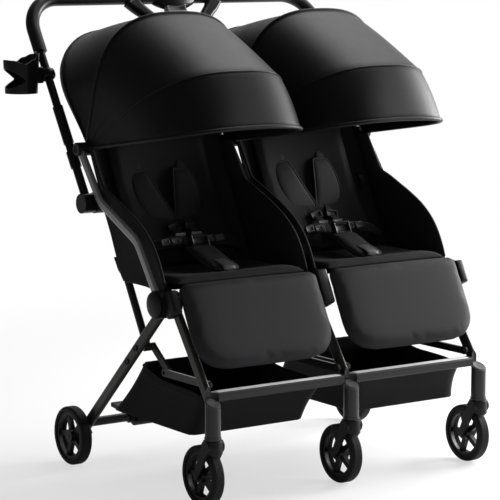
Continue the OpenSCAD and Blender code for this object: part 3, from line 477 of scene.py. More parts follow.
# Padded pieces: each starts as a crowned shell and is puffed as cloth
def padShell(name, pad):
    # rows round the pad, top and underside, with drawn in sides and rounded far corners
    wide, long, thick, corner, cells = pad["wide"], pad["long"], pad["thick"], pad["corner"], pad["cells"]
    near = pad.get("near", 0.001)
    edge = thick * pad.get("edge", 0.22)
    swell = (thick - edge) / 2

    def dome(s):
        return math.sqrt(max(1 - abs(2 * s - 1) ** pad.get("crown", 4), 0))

    def spot(u, v, face):
        past, before = max(0, (v - 1) * long + corner), max(0, near - v * long)
        cut = corner - math.sqrt(corner ** 2 - past ** 2) + near - math.sqrt(near ** 2 - before ** 2)
        inX = 1 - 2 * pad["pull"] / wide * (1 - (2 * v - 1) ** 2) - 2 * cut / wide
        inY = 1 - 2 * pad["pull"] / long * (1 - (2 * u - 1) ** 2)
        high = edge / 2 + swell * dome(u) * dome(v)
        return ((u - 0.5) * wide * inX, v * long + (v - 0.5) * long * (inY - 1), face * high)

    nx, ny = cells
    points, faces = [], []
    for face in (1, -1):
        points += [spot(i / nx, j / ny, face) for j in range(ny + 1) for i in range(nx + 1)]
    row, count = nx + 1, (nx + 1) * (ny + 1)
    for j in range(ny):
        for i in range(nx):
            a = j * row + i
            faces.append((a, a + 1, a + row + 1, a + row))
            faces.append((a + count, a + row + count, a + row + 1 + count, a + 1 + count))
    rim = list(range(nx)) + [j * row + nx for j in range(ny)] + [ny * row + i for i in range(nx, 0, -1)] \
        + [j * row for j in range(ny, 0, -1)]
    for a, b in zip(rim, rim[1:] + rim[:1]):
        faces.append((b, a, a + count, b + count))
    obj = addMesh(name, points, faces)
    faceOutwards(obj)
    return obj


puffing = {"quality": 4, "mass": 0.3, "pressure": 4, "frames": 20, "smoothing": 6}


def puff(obj, voxel, cap):
    # swells the shell with Blender's cloth, holding each point within cap of its start
    addModifier(obj, "REMESH", mode="VOXEL", voxel_size=voxel, use_smooth_shade=True)
    start = [v.co.copy() for v in obj.data.vertices]
    makeActive(obj)
    cloth = obj.modifiers.new("cloth", "CLOTH")
    cloth.settings.quality = puffing["quality"]
    cloth.settings.mass = puffing["mass"]
    cloth.settings.use_pressure = True
    cloth.settings.uniform_pressure_force = puffing["pressure"]
    cloth.settings.effector_weights.gravity = 0
    for step in range(1, puffing["frames"] + 1):
        bpy.context.scene.frame_set(step)
    bpy.ops.object.modifier_apply(modifier=cloth.name)
    bpy.context.scene.frame_set(1)
    for v, was in zip(obj.data.vertices, start):
        moved = v.co - was
        if moved.length > cap:
            v.co = was + moved * (cap / moved.length)
    addModifier(obj, "SMOOTH", factor=0.5, iterations=puffing["smoothing"])
    soften(obj)
    return obj


def padSpot(pad, hand, x, y, z):
    # a spot of a pad, whose own length runs along the seat's slope from its seam
    slope = math.radians(pad["slope"])
    along = Vector((0, math.cos(slope), math.sin(slope)))
    face = Vector((0, -math.sin(slope), math.cos(slope))) * pad["faces"]
    if "sag" in pad:  # the cloth of the seat gives between its sides
        share = min(max(y / pad["long"], 0), 1)
        across = max(1 - (2 * x / pad["wide"]) ** 2, 0)
        z -= pad["sag"] * across * math.sin(math.pi * share ** pad["sagAt"]) ** 2
    return Vector((hand * seatPlace + x, *pad["seam"])) + along * y + face * z


def placePad(obj, pad, hand):
    for v in obj.data.vertices:
        v.co = padSpot(pad, hand, *v.co)
    obj.data.update()
    faceOutwards(obj)
    obj.data.shade_smooth()
    return obj


seatPan = {"wide": 0.320, "long": 0.212, "thick": 0.024, "corner": 0.012, "cells": (24, 16), "pull": 0.002,
           "slope": -2, "faces": 1, "seam": (-0.1426, 0.4255), "voxel": 0.005, "cap": 0.004, "sag": 0.013,
           "sagAt": 1.0}
backPad = {"wide": 0.262, "long": 0.345, "thick": 0.025, "corner": 0.048, "cells": (22, 28), "pull": 0.003,
           "slope": 63, "faces": 1, "seam": (0.0590, 0.4222), "voxel": 0.005, "cap": 0.006, "sag": 0.036,
           "sagAt": 1.16}
legRest = {"wide": 0.333, "long": 0.185, "thick": 0.027, "corner": 0.062, "near": 0.014, "edge": 0.3,
           "crown": 7,
           "cells": (40, 26), "pull": -0.002, "slope": -117, "faces": -1, "seam": (-0.1508, 0.4283),
           "voxel": 0.004, "cap": 0.004}


def buildPads():
    for pad, name, slotName, body, node in ((seatPan, "seatPan", "seat_cloth", "frame", "seat_"),
                                            (backPad, "backPad", "seat_cloth", "back_", "backrest_"),
                                            (legRest, "legRest", "leg_rest_cloth", "leg_rest_", "leg_rest_")):
        first = puff(padShell(name + "_left", pad), pad["voxel"], pad["cap"])
        twin = copied(first, name + "_right")
        for piece, side in ((first, "left"), (twin, "right")):
            placePad(piece, pad, hands[side])
            dress(piece, slotName, body if body == "frame" else body + side, node + side)
        print("padded:", name, len(first.data.polygons), "faces")


buildPads()


# Side wings: one smooth panel on each side of a seat, and a gusset of cloth from it to the backrest
wing = {
    "edge": [(-0.115, 0.421), (-0.106, 0.445), (-0.089, 0.476), (-0.067, 0.502), (-0.036, 0.526),
             (0.004, 0.547), (0.041, 0.563), (0.074, 0.577), (0.108, 0.591), (0.129, 0.619), (0.150, 0.652),
             (0.161, 0.672)],
    "base": [(-0.114, 0.400), (-0.088, 0.401), (-0.055, 0.405), (-0.020, 0.407), (0.020, 0.407),
             (0.054, 0.408), (0.076, 0.447), (0.101, 0.500), (0.127, 0.553), (0.150, 0.600), (0.172, 0.646),
             (0.181, 0.668)],
    "top": [(0.194, 0.690), (0.214, 0.732)],
    "out": 0.1615, "lean": 0.0105, "belly": 0.004, "wall": 0.007, "along": 44, "up": 12, "piping": 0.0034,
    "rear": 5,
}
gusset = {"backOut": 0.106, "from": -0.004, "to": 0.338, "behind": -0.006, "sag": 0.006,
          "sagWay": (0, 0.6, -0.4), "wall": 0.002, "along": 32, "across": 9, "middle": 16}
# the cloth under the pan, from the front hem to the foot of the backrest
seatSling = {"half": 0.1615, "dip": 0.012, "across": 13,
             "line": [(-0.138, 0.416), (-0.09, 0.410), (-0.03, 0.408), (0.03, 0.409), (0.054, 0.414),
                      (0.074, 0.428), (0.090, 0.452)]}


def addSling(side, middle):
    line, across = seatSling["line"], seatSling["across"]
    rows = []
    for k, (y, z) in enumerate(line):
        dip = seatSling["dip"] * math.sin(math.pi * k / (len(line) - 1))
        row = [2 * i / (across - 1) - 1 for i in range(across)]
        rows.append([Vector((middle + seatSling["half"] * f, y, z - dip * (1 - f * f))) for f in row])
    sling = addGrid("seatSling_" + side, rows)
    thicken(sling, gusset["wall"], 0)
    faceOutwards(sling)
    dress(sling, "seat_cloth", None)
    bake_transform(sling)


def buildWings():
    edge = smoothLine([(0, *p) for p in wing["edge"]], wing["along"])
    base = smoothLine([(0, *p) for p in wing["base"]], wing["along"])
    rear = smoothLine([(0, *p) for p in wing["base"][wing["rear"]:] + wing["top"]], gusset["along"])
    for side, hand in hands.items():
        for end, part in ((-1, "outer" if hand < 0 else "inner"), (1, "inner" if hand < 0 else "outer")):
            rows = []
            for k in range(wing["up"] + 1):
                f = k / wing["up"]
                out = wing["out"] + wing["lean"] * f - wing["belly"] * math.sin(math.pi * f)
                plane = Vector((hand * seatPlace + end * out, 0, 0))
                rows.append([plane + b.lerp(e, f) for b, e in zip(base, edge)])
            piece = addGrid("seatWing_%s_%s" % (side, part), rows)
            faceOutwards(piece)
            thicken(piece, wing["wall"], 0)
            soften(piece)
            dress(piece, "seat_cloth", "frame", "seat_" + side)
            piping = addTube("wingPiping_%s_%s" % (side, part), rows[-1], wing["piping"], 8)
            dress(piping, "seat_cloth", "frame")
            foldRows = []
            for k in range(gusset["across"]):
                f = k / (gusset["across"] - 1)
                row = []
                for i, r in enumerate(rear):
                    up = gusset["from"] + (gusset["to"] - gusset["from"]) * i / (gusset["along"] - 1)
                    q = Vector((hand * seatPlace + end * wing["out"], 0, 0)) + r
                    back = padSpot(backPad, hand, end * gusset["backOut"], up, gusset["behind"])
                    sag = gusset["sag"] * math.sin(math.pi * f)
                    row.append(q.lerp(back, f) + Vector(gusset["sagWay"]) * sag)
                foldRows.append(row)
            fold = addGrid("backGusset_%s_%s" % (side, part), foldRows)
            thicken(fold, gusset["wall"], 0)
            faceOutwards(fold)
            dress(fold, "seat_cloth", None)
            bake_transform(fold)
        addSling(side, hand * seatPlace)
    print("wings, gussets and slings built")


buildWings()


# Harness: shoulder pads, straps, adjusters, waist clips, buckle and a padded crotch strap
harness = {
    "low": ((-0.003, 0.106), (0.066, 0.104)), "high": ((0.034, 0.223), (0.073, 0.219)), "bulge": 0.0125,
    "toe": 0.009, "lean": -0.005, "proud": (-0.004, -0.011),
    "neck": (0.064, 0.250), "adjuster": (0.021, 0.084, 0.012),
    "prong": (0.0195, 0.062, 0.030), "tail": (0.012, 0.034, 0.036), "buckle": (0.022, 0.480),
    "waist": [(0.140, 0.032, 0.010), (0.098, 0.041, 0.028), (0.05, 0.046, 0.034), (0.024, 0.046, 0.037)],
    "clips": {"outer": 0.066, "inner": 0.041}, "clipAt": (0.0455, 0.0375), "clipLean": (0.12, 0.5),
    "piping": 0.0028, "pipingLift": 0.002, "crotchPiping": 0.0022, "pipingInset": (0.0012, 0.0008),
    "pipingSteps": 64,
    "straps": {"shoulder": (0.0125, 12, 0.07), "tail": (0.009, 12, 0.09), "waist": (0.0115, 12, 0.08),
               "tongue": (0.015, 12, 0.1)},  # half width, sides and flatness
    "tongueSteps": (28, 31, 34, 37), "tongueLift": 0.0092,
    "tongueTip": [(0, -0.003, 0.006), (0, -0.004, -0.004)],
    "blocks": {"waistClip": ((0.021, 0.014, 0.006), 0.0014, 0.003),
               "bucklePin": ((0.024, 0.006, 0.004), 0.0012, 0.0012),
               "strapSlider": ((0.030, 0.018, 0.006), 0.0015, 0.0035),
               "harnessBuckle": ((0.044, 0.030, 0.013), 0.004, 0.006)},
}
shoulderPad = {"wide": 0.060, "long": 0.110, "thick": 0.012, "corner": 0.006, "near": 0.004, "edge": 0.45,
               "cells": (12, 26), "pull": 0.0005, "voxel": 0.003, "cap": 0.002}
crotchPad = {"wide": 0.067, "long": 0.132, "thick": 0.016, "corner": 0.02, "near": 0.016, "edge": 0.4,
             "cells": (12, 24), "pull": 0.001, "voxel": 0.003, "cap": 0.002,
             "line": [(0.032, 0.468), (0.002, 0.461), (-0.036, 0.4465), (-0.086, 0.4345)]}


def addBlock(name, size, edge, hole=0.0):
    # a rounded plate at the origin; where a hole is given, a recess is pressed into its top
    deselectAll()
    bpy.ops.mesh.primitive_cube_add(size=1)
    block = bpy.context.object
    block.name = name
    bpy.ops.object.mode_set(mode="EDIT")
    bpy.ops.transform.resize(value=size)
    if hole:
        bpy.ops.mesh.select_all(action="DESELECT")
        mesh = bmesh.from_edit_mesh(block.data)
        for f in mesh.faces:
            f.select = f.normal.z > 0.9
        bmesh.update_edit_mesh(block.data)
        bpy.ops.mesh.inset(thickness=hole, depth=0)
        bpy.ops.mesh.inset(thickness=hole * 0.2, depth=-size[2] * 0.45)
    bpy.ops.object.mode_set(mode="OBJECT")
    addModifier(block, "BEVEL", width=edge, segments=3, limit_method="ANGLE")
    block.data.shade_smooth()
    return block


def frameAt(place, across, along):
    # turns a piece made flat at the origin to its place
    x = Vector(across).normalized()
    y = Vector(along)
    y = (y - x * y.dot(x)).normalized()
    z = x.cross(y)
    return Matrix.Translation(Vector(place)) @ Matrix((x, y, z)).transposed().to_4x4()


def setPiece(obj, place, across, along):
    obj.data.transform(frameAt(place, across, along))
    obj.data.update()
    return obj


def outlineOf(pad, inset, count):
    # the flat outline of a pad, for its piping
    wide, long, corner, near = pad["wide"] / 2 - inset, pad["long"], pad["corner"], pad["near"]
    line = []
    for cx, cy, r, a0 in ((wide - near, inset + near, near, -90),
                          (wide - corner, long - inset - corner, corner, 0),
                          (corner - wide, long - inset - corner, corner, 90),
                          (near - wide, inset + near, near, 180)):
        for k in range(10):
            a = math.radians(a0 + 10 * k)
            line.append((cx + r * math.cos(a), cy + r * math.sin(a), 0))
    return [(q.x, q.y) for q in evenLine(line + line[:1], count + 1)[:-1]]


def buildHarness():
    slope = math.radians(backPad["slope"])
    up, face = Vector((0, math.cos(slope), math.sin(slope))), Vector((0, -math.sin(slope), math.cos(slope)))
    right = Vector((1, 0, 0))
    shoulder = puff(padShell("shoulderPad", shoulderPad), shoulderPad["voxel"], shoulderPad["cap"])
    crotch = puff(padShell("crotchPad", crotchPad), crotchPad["voxel"], crotchPad["cap"])
    straps, insets = harness["straps"], harness["pipingInset"]
    clip, bar, slider, body = [addBlock(name, *block) for name, block in harness["blocks"].items()]
    for side, hand in hands.items():
        back = "back_" + side
        seam = Vector((hand * seatPlace, *backPad["seam"]))
        for end, part in ((-1, "a"), (1, "b")):
            def onBack(x, y, z):
                return seam + right * (end * x) + up * y + face * z

            def padAt(x, y, z):  # the flat pad drawn onto its tapered outline on the backrest
                s, t = 0.5 + end * x / shoulderPad["wide"], y / shoulderPad["long"]
                low = Vector(harness["low"][0]).lerp(Vector(harness["low"][1]), s)
                q = low.lerp(Vector(harness["high"][0]).lerp(Vector(harness["high"][1]), s), t)
                bulge = harness["bulge"] * math.sin(math.pi * min(max(t, 0), 1))
                q.x += s * (bulge - harness["toe"] * max(0, 1 - 3 * t) ** 2)
                lift = between(harness["proud"], t)
                return seam + right * (end * q.x + harness["lean"] * t) + up * q.y + face * (lift + z)

            pad = copied(shoulder, "shoulderPad_%s_%s" % (side, part))
            for v in pad.data.vertices:
                v.co = padAt(*v.co)
            faceOutwards(pad)
            pad.data.shade_smooth()
            dress(pad, "strap_cloth", back, "harness_" + side)
            half, tall = shoulderPad["wide"] / 2, shoulderPad["long"]
            edge = [padAt(x, y, harness["pipingLift"])
                    for x, y in outlineOf(shoulderPad, insets[0], harness["pipingSteps"])]
            piping = addTube("shoulderPiping_%s_%s" % (side, part), edge, harness["piping"], 8, closed=True)
            dress(piping, "strap_cloth", back)
            foot, head = padAt(end * half * 0.2, 0.006, -0.002), padAt(0, tall, 0)
            along = (padAt(0, tall, 0) - padAt(0, 0, 0)).normalized()
            across = along.cross(face)
            neck = padSpot(backPad, hand, end * harness["neck"][0], harness["neck"][1], 0.008)
            low = onBack(*harness["adjuster"])
            lines = {"top": [neck, head.lerp(neck, 0.5) + face * 0.004, head - along * 0.01],
                     "low": [foot + along * 0.012, foot.lerp(low, 0.6), low]}
            for name, line in lines.items():
                strap = addTube("shoulderStrap_%s_%s_%s" % (side, part, name), smoothLine(line, 12),
                                *straps["shoulder"], face)
                dress(strap, "strap_cloth", back)
            prong = copied(bar, "bucklePin_%s_%s" % (side, part))
            pin = onBack(*harness["prong"])
            dress(setPiece(prong, pin, right, up), "button", back)
            keeper = copied(slider, "strapSlider_%s_%s" % (side, part))
            dress(setPiece(keeper, low + face * 0.002, across, along), "black_plastic", back)
            tail = smoothLine([low, pin - face * 0.002, onBack(*harness["tail"])], 16)
            tail = addTube("buckleStrap_%s_%s" % (side, part), tail, *straps["tail"], face)
            dress(tail, "strap_cloth", back)
            waist = smoothLine([onBack(*p) for p in harness["waist"]], 24)
            belt = addTube("waistStrap_%s_%s" % (side, part), waist, *straps["waist"], face)
            dress(belt, "strap_cloth", None)
            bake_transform(belt)
            for name, at in harness["clips"].items():
                tab = setPiece(copied(clip, "waistClip_%s_%s_%s" % (side, part, name)),
                               onBack(at, *harness["clipAt"]),
                               right + up * harness["clipLean"][0],
                               up - right * (harness["clipLean"][1] * end))
                dress(tab, "clip", back)
        middle = hand * seatPlace
        latch = setPiece(copied(body, "harnessBuckle_" + side), (middle, *harness["buckle"]), right, up)
        dress(latch, "gloss_black", "frame", "buckles")
        route = smoothLine([(middle, *q) for q in crotchPad["line"]], 40)

        def onRoute(y):  # the spot and the way of the crotch strap at a length along it
            at = min(max(y / crotchPad["long"], 0), 1) * (len(route) - 1)
            k = min(int(at), len(route) - 2)
            return route[k].lerp(route[k + 1], at - k), (route[k + 1] - route[k]).normalized()

        soft = copied(crotch, "crotchPad_" + side)
        for v in soft.data.vertices:
            spot, way = onRoute(v.co.y)
            v.co = spot + right * v.co.x + right.cross(way) * -v.co.z
        faceOutwards(soft)
        soft.data.shade_smooth()
        dress(soft, "strap_cloth", "frame")
        trim = [onRoute(y)[0] + right * x for x, y in outlineOf(crotchPad, insets[1], harness["pipingSteps"])]
        piping = addTube("crotchPiping_" + side, trim, harness["crotchPiping"], 6, closed=True)
        dress(piping, "strap_cloth", "frame")
        tongue = [route[k] + Vector((0, 0, harness["tongueLift"])) for k in harness["tongueSteps"]]
        tongue += [route[-1] + Vector(tip) for tip in harness["tongueTip"]]
        tongue = addTube("crotchTongue_" + side, smoothLine(tongue, 18), *straps["tongue"], (0, 0, 1))
        dress(tongue, "clip", "frame")
    for spare in (shoulder, crotch, clip, bar, slider, body):
        bpy.data.objects.remove(spare)
    print("harness built")


buildHarness()


# Baskets: a sagging shell of mesh with a bound rim that dips at its front, sloped at its back
basket = {
    "inner": (0.062, 0.040), "outer": (0.333, 0.322), "round": 0.012, "bow": 0.003, "wall": 0.0016,
    "binding": 0.0028, "steps": 14, "around": 80, "rimSteps": 40,
    "front": [(-0.178, 0.130), (-0.214, 0.203)], "rear": [(0.116, 0.131), (0.0227, 0.2407)], "middle": -0.024,
    "still": (0.06, 0.17), "hung": (-0.19, 0.17),
    "rim": [(0.0, 0.203), (0.18, 0.211), (0.45, 0.2145), (0.65, 0.2165), (0.85, 0.226), (1.0, 0.2407)],
}


def buildBaskets():
    around, rimSteps = basket["around"], basket["rimSteps"]
    rimLine = smoothLine([(0, *p) for p in basket["rim"]], rimSteps + 1)
    for side, hand in hands.items():
        rows = []
        for k in range(basket["steps"] + 1):
            f = k / basket["steps"]
            front = Vector(basket["front"][0]).lerp(Vector(basket["front"][1]), f)
            rear = Vector(basket["rear"][0]).lerp(Vector(basket["rear"][1]), f)
            bow = basket["bow"] * math.sin(math.pi * f)
            inner, outer = between(basket["inner"], f) + bow, between(basket["outer"], f) - bow
            middle, halfX = hand * (inner + outer) / 2, (outer - inner) / 2
            yFront, yRear, r = front.x + bow, rear.x - bow, basket["round"]
            loop = []
            for cx, cy, a0 in ((1, yFront + r, -90), (1, yRear - r, 0), (-1, yRear - r, 90),
                               (-1, yFront + r, 180)):
                for j in range(5):
                    a = math.radians(a0 + 90 * j / 4)
                    loop.append((cx * (halfX - r) + r * math.cos(a), cy + r * math.sin(a)))
            loop.append(loop[0])
            row = []
            for q in evenLine([(x, y, 0) for x, y in loop], around + 1)[:-1]:
                share = min(max((q.y - yFront) / (yRear - yFront), 0), 1)
                low = between((basket["front"][0][1], basket["rear"][0][1]), share)
                top = rimLine[int(share * rimSteps + 0.5)].z
                row.append(Vector((middle + q.x, q.y, low + (top - low) * f)))
            rows.append(row)
        middle = hand * (basket["inner"][0] + basket["outer"][0]) / 2
        floorRows = []
        for k in (0.25, 0.5, 0.75):
            floorRows.append([Vector((middle + (q.x - middle) * k,
                                      basket["middle"] + (q.y - basket["middle"]) * k,
                                      q.z - 0.001 * math.cos(math.pi / 2 * k))) for q in rows[0]])
        rows = floorRows + rows
        piece = addGrid("basketShell_" + side, rows, closeAcross=True)
        makeActive(piece)
        cap = bmesh.new()
        cap.from_mesh(piece.data)
        cap.verts.ensure_lookup_table()
        cap.faces.new([cap.verts[i] for i in range(around)])
        cap.to_mesh(piece.data)
        cap.free()
        faceOutwards(piece)
        thicken(piece, basket["wall"], -1)
        piece.data.shade_smooth()
        binding = addTube("basketBinding_" + side, rows[-1], basket["binding"], 8, closed=True)
        for part in (piece, binding):
            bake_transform(dress(part, "basket_cloth", None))
        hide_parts("basket_" + side)
    print("baskets built")


buildBaskets()


# Cup holder: an open cup with a dipped rim and one side window, on an arm clipped to the handle
cup = {
    "axis": (-0.428, 0.315), "low": 0.7755, "radius": (0.0340, 0.0378), "wall": 0.0024, "around": 120,
    "up": 10,
    "tall": 0.08, "window": (87, 258), "windowAt": 0.0275, "windowHalf": 0.0165, "windowUp": 1.45,
    "windowPower": 0.8,
    "rim": [(0, 0.082), (24, 0.080), (55, 0.073), (80, 0.064), (112, 0.063), (145, 0.068), (180, 0.070),
            (216, 0.069), (257, 0.062), (285, 0.070), (325, 0.083), (360, 0.082)],
    "clamp": (-0.368, 0.311, 0.8124), "clampRadius": 0.0135, "clampWall": 0.0030, "clampTall": 3.2,
    "slope": 58, "arm": (0.016, 0.022, 0.034), "armOut": 0.022, "armEdge": 0.003, "lipEdge": 0.0006,
}


def buildCup():
    def rimAt(angle):
        for (a, za), (b, zb) in zip(cup["rim"], cup["rim"][1:]):
            if a <= angle <= b:
                f = (angle - a) / (b - a)
                return za + (zb - za) * (3 * f * f - 2 * f ** 3)

    def spot(angle, z):
        f = z / cup["tall"]
        r, turn = between(cup["radius"], f), math.radians(angle)
        return Vector((cup["axis"][0] + r * math.cos(turn), cup["axis"][1] + r * math.sin(turn),
                       cup["low"] + z))

    lower, upper = [], []
    first, last = cup["window"]
    for k in range(cup["around"]):
        angle = 360 * k / cup["around"]
        share = (angle - first) / (last - first)
        gap = cup["windowHalf"] * math.sin(math.pi * share) ** cup["windowPower"] if 0 < share < 1 else 0
        lowEdge, highEdge = cup["windowAt"] - gap, cup["windowAt"] + cup["windowUp"] * gap
        tall, steps = rimAt(angle) - highEdge, range(cup["up"] + 1)
        lower.append([spot(angle, lowEdge * j / cup["up"]) for j in steps])
        upper.append([spot(angle, highEdge + tall * j / cup["up"]) for j in steps])
    shell = joined("cupShell", [addGrid("cupLower", lower, closeRows=True),
                                addGrid("cupUpper", upper, closeRows=True)])
    base = bmesh.new()
    base.from_mesh(shell.data)
    bmesh.ops.remove_doubles(base, verts=base.verts, dist=0.00002)
    floorTop = cup["low"] + 0.0001
    floorEdge = [e for e in base.edges if e.is_boundary and all(v.co.z < floorTop for v in e.verts)]
    bmesh.ops.holes_fill(base, edges=floorEdge, sides=0)
    base.to_mesh(shell.data)
    base.free()
    faceOutwards(shell)
    thicken(shell, cup["wall"], -1)
    addModifier(shell, "BEVEL", width=cup["lipEdge"], segments=2, limit_method="ANGLE")
    deselectAll()
    bpy.ops.mesh.primitive_torus_add(major_radius=cup["clampRadius"], minor_radius=cup["clampWall"],
                                     major_segments=40,
                                     minor_segments=12)
    ring = bpy.context.object
    bpy.ops.object.mode_set(mode="EDIT")
    bpy.ops.transform.resize(value=(1, 1, cup["clampTall"]))
    bpy.ops.object.mode_set(mode="OBJECT")
    slope = math.radians(cup["slope"])
    setPiece(ring, cup["clamp"], (1, 0, 0), (0, -math.sin(slope), math.cos(slope)))
    arm = addBlock("cupArm", cup["arm"], cup["armEdge"])
    arm.data.transform(Matrix.Translation((cup["clamp"][0] - cup["armOut"], *cup["clamp"][1:])))
    shell = joined("cupShell", [shell, ring, arm])
    shell.data.shade_smooth()
    dress(shell, "gloss_black", "handle", "cup_holder")
    print("cup holder built")


buildCup()


# Handle middle: flared branches up to the bar, the pod round the release and its button
yoke = {
    "pod": (0.1520, 0.5580), "angle": 58, "thick": 0.0215,
    "rows": [(0.366, 0.004, 0.025), (0.400, 0.041, 0.026), (0.436, 0.077, 0.028), (0.455, 0.096, 0.032),
             (0.474, 0.108, 0.040)],
    "podHalf": (0.062, 0.028, 0.0175), "podAt": 0.478, "mouth": (-0.022, 0.009), "mouthLip": (0.0012, 0.0006),
    "mouthDeep": 0.0145, "mouthEdge": 0.0006, "button": (0.050, 0.019, 0.016), "buttonAt": 0.4490,
    "buttonEdge": 0.0035, "buttonDip": 0.004,
}


def handleSpot(x, along):
    # a spot on the handle's middle plane, at a distance along it from the pods
    a = math.radians(yoke["angle"])
    return Vector((x, yoke["pod"][0] + along * math.cos(a), yoke["pod"][1] + along * math.sin(a)))


def buildHandleMiddle():
    a = math.radians(yoke["angle"])
    along, out = Vector((0, math.cos(a), math.sin(a))), Vector((0, -math.sin(a), math.cos(a)))
    for end, part in ((-1, "left"), (1, "right")):
        line = smoothLine([(end * x, r, w) for r, x, w in yoke["rows"]], 24)
        spots = [handleSpot(q.x, q.y) for q in line]
        branch = addTube("yokeBranch_" + part, spots, [q.z / 2 for q in line], 20, 1.0, out)
        for v in branch.data.vertices:  # the branch is wide and evenly thick
            lift = (v.co - handleSpot(0, 0)).dot(out)
            v.co += out * (math.copysign(min(abs(lift), yoke["thick"] / 2), lift) - lift)
        branch.data.shade_smooth()
        dress(branch, "gloss_black", "handle")
    deselectAll()
    bpy.ops.mesh.primitive_uv_sphere_add(segments=56, ring_count=28, radius=1)
    pod = bpy.context.object
    pod.name = "releaseShell"
    bpy.ops.object.mode_set(mode="EDIT")
    bpy.ops.transform.resize(value=yoke["podHalf"])
    bpy.ops.mesh.select_all(action="DESELECT")
    mesh = bmesh.from_edit_mesh(pod.data)
    for f in mesh.faces:
        middle = f.calc_center_median()
        f.select = middle.y < yoke["mouth"][0] and abs(middle.z) < yoke["mouth"][1]
    bmesh.update_edit_mesh(pod.data)
    bpy.ops.mesh.inset(thickness=yoke["mouthLip"][0], depth=yoke["mouthLip"][1])
    bpy.ops.mesh.extrude_region_move(TRANSFORM_OT_translate={"value": (0, yoke["mouthDeep"], 0)})
    bpy.ops.object.mode_set(mode="OBJECT")
    addModifier(pod, "BEVEL", width=yoke["mouthEdge"], segments=2, limit_method="ANGLE")
    setPiece(pod, handleSpot(0, yoke["podAt"]), (1, 0, 0), along)
    pod.data.shade_smooth()
    dress(pod, "gloss_black", "handle", "release_pod")
    button = addBlock("releaseKey", yoke["button"], yoke["buttonEdge"], yoke["buttonDip"])
    setPiece(button, handleSpot(0, yoke["buttonAt"]), (1, 0, 0), along)
    dress(button, "button", "release", "release_button")
    print("handle middle built")


buildHandleMiddle()


# Small parts: pivot rings, studs, hinge covers, painted highlight strips on the bars, socket caps and caster
# crowns
smallParts = {
    "ring": (0.3753, 0.184, 0.666), "ringSize": (0.0098, 0.0013),
    "studs": {"pin": (0.3545, 0.025, 0.248), "rivet": (0.3545, -0.008, 0.2802)},
    "studSize": (0.0060, 0.0022, 0.0018),
    "dome": (0.3795, -0.118, 0.385), "domeSize": (0.0262, 0.0262, 0.0055), "domeCut": -0.2,
    "noses": {"left": (-0.3600, 0.020, 0.050), "middle": (0.0, 0.0292, 0.074),
              "right": (0.3600, 0.020, 0.050)},
    "nose": (0.036, 0.036, -0.016), "noseEdge": 0.005,
    "legs": {"left": -0.334, "middle": 0.0, "right": 0.334}, "swivel": -0.256,
    "crown": (0.0190, 0.1365, 0.106, 0.123), "crownTall": 0.08, "crownEdge": 0.0015,
    "capAt": 0.208, "capSize": (0.0128, 0.0016, 0.002), "capSlant": 28,
    "trim": (0.020, 0.314, -0.240, 0.2262), "highlightStripSize": (0.0186, 0.0012), "highlightStripEdge": 0.0004,
}


def addDisc(name, radius, depth, rim):
    # a round plate at the origin with a pressed middle
    deselectAll()
    bpy.ops.mesh.primitive_cylinder_add(vertices=40, radius=radius, depth=depth * 2)
    disc = bpy.context.object
    disc.name = name
    bpy.ops.object.mode_set(mode="EDIT")
    bpy.ops.mesh.select_all(action="DESELECT")
    mesh = bmesh.from_edit_mesh(disc.data)
    for f in mesh.faces:
        f.select = abs(f.normal.z) > 0.9
    bmesh.update_edit_mesh(disc.data)
    bpy.ops.mesh.inset(thickness=rim, depth=-depth * 0.4, use_individual=True)
    bpy.ops.object.mode_set(mode="OBJECT")
    addModifier(disc, "BEVEL", width=depth * 0.2, segments=2, limit_method="ANGLE")
    disc.data.shade_smooth()
    return disc


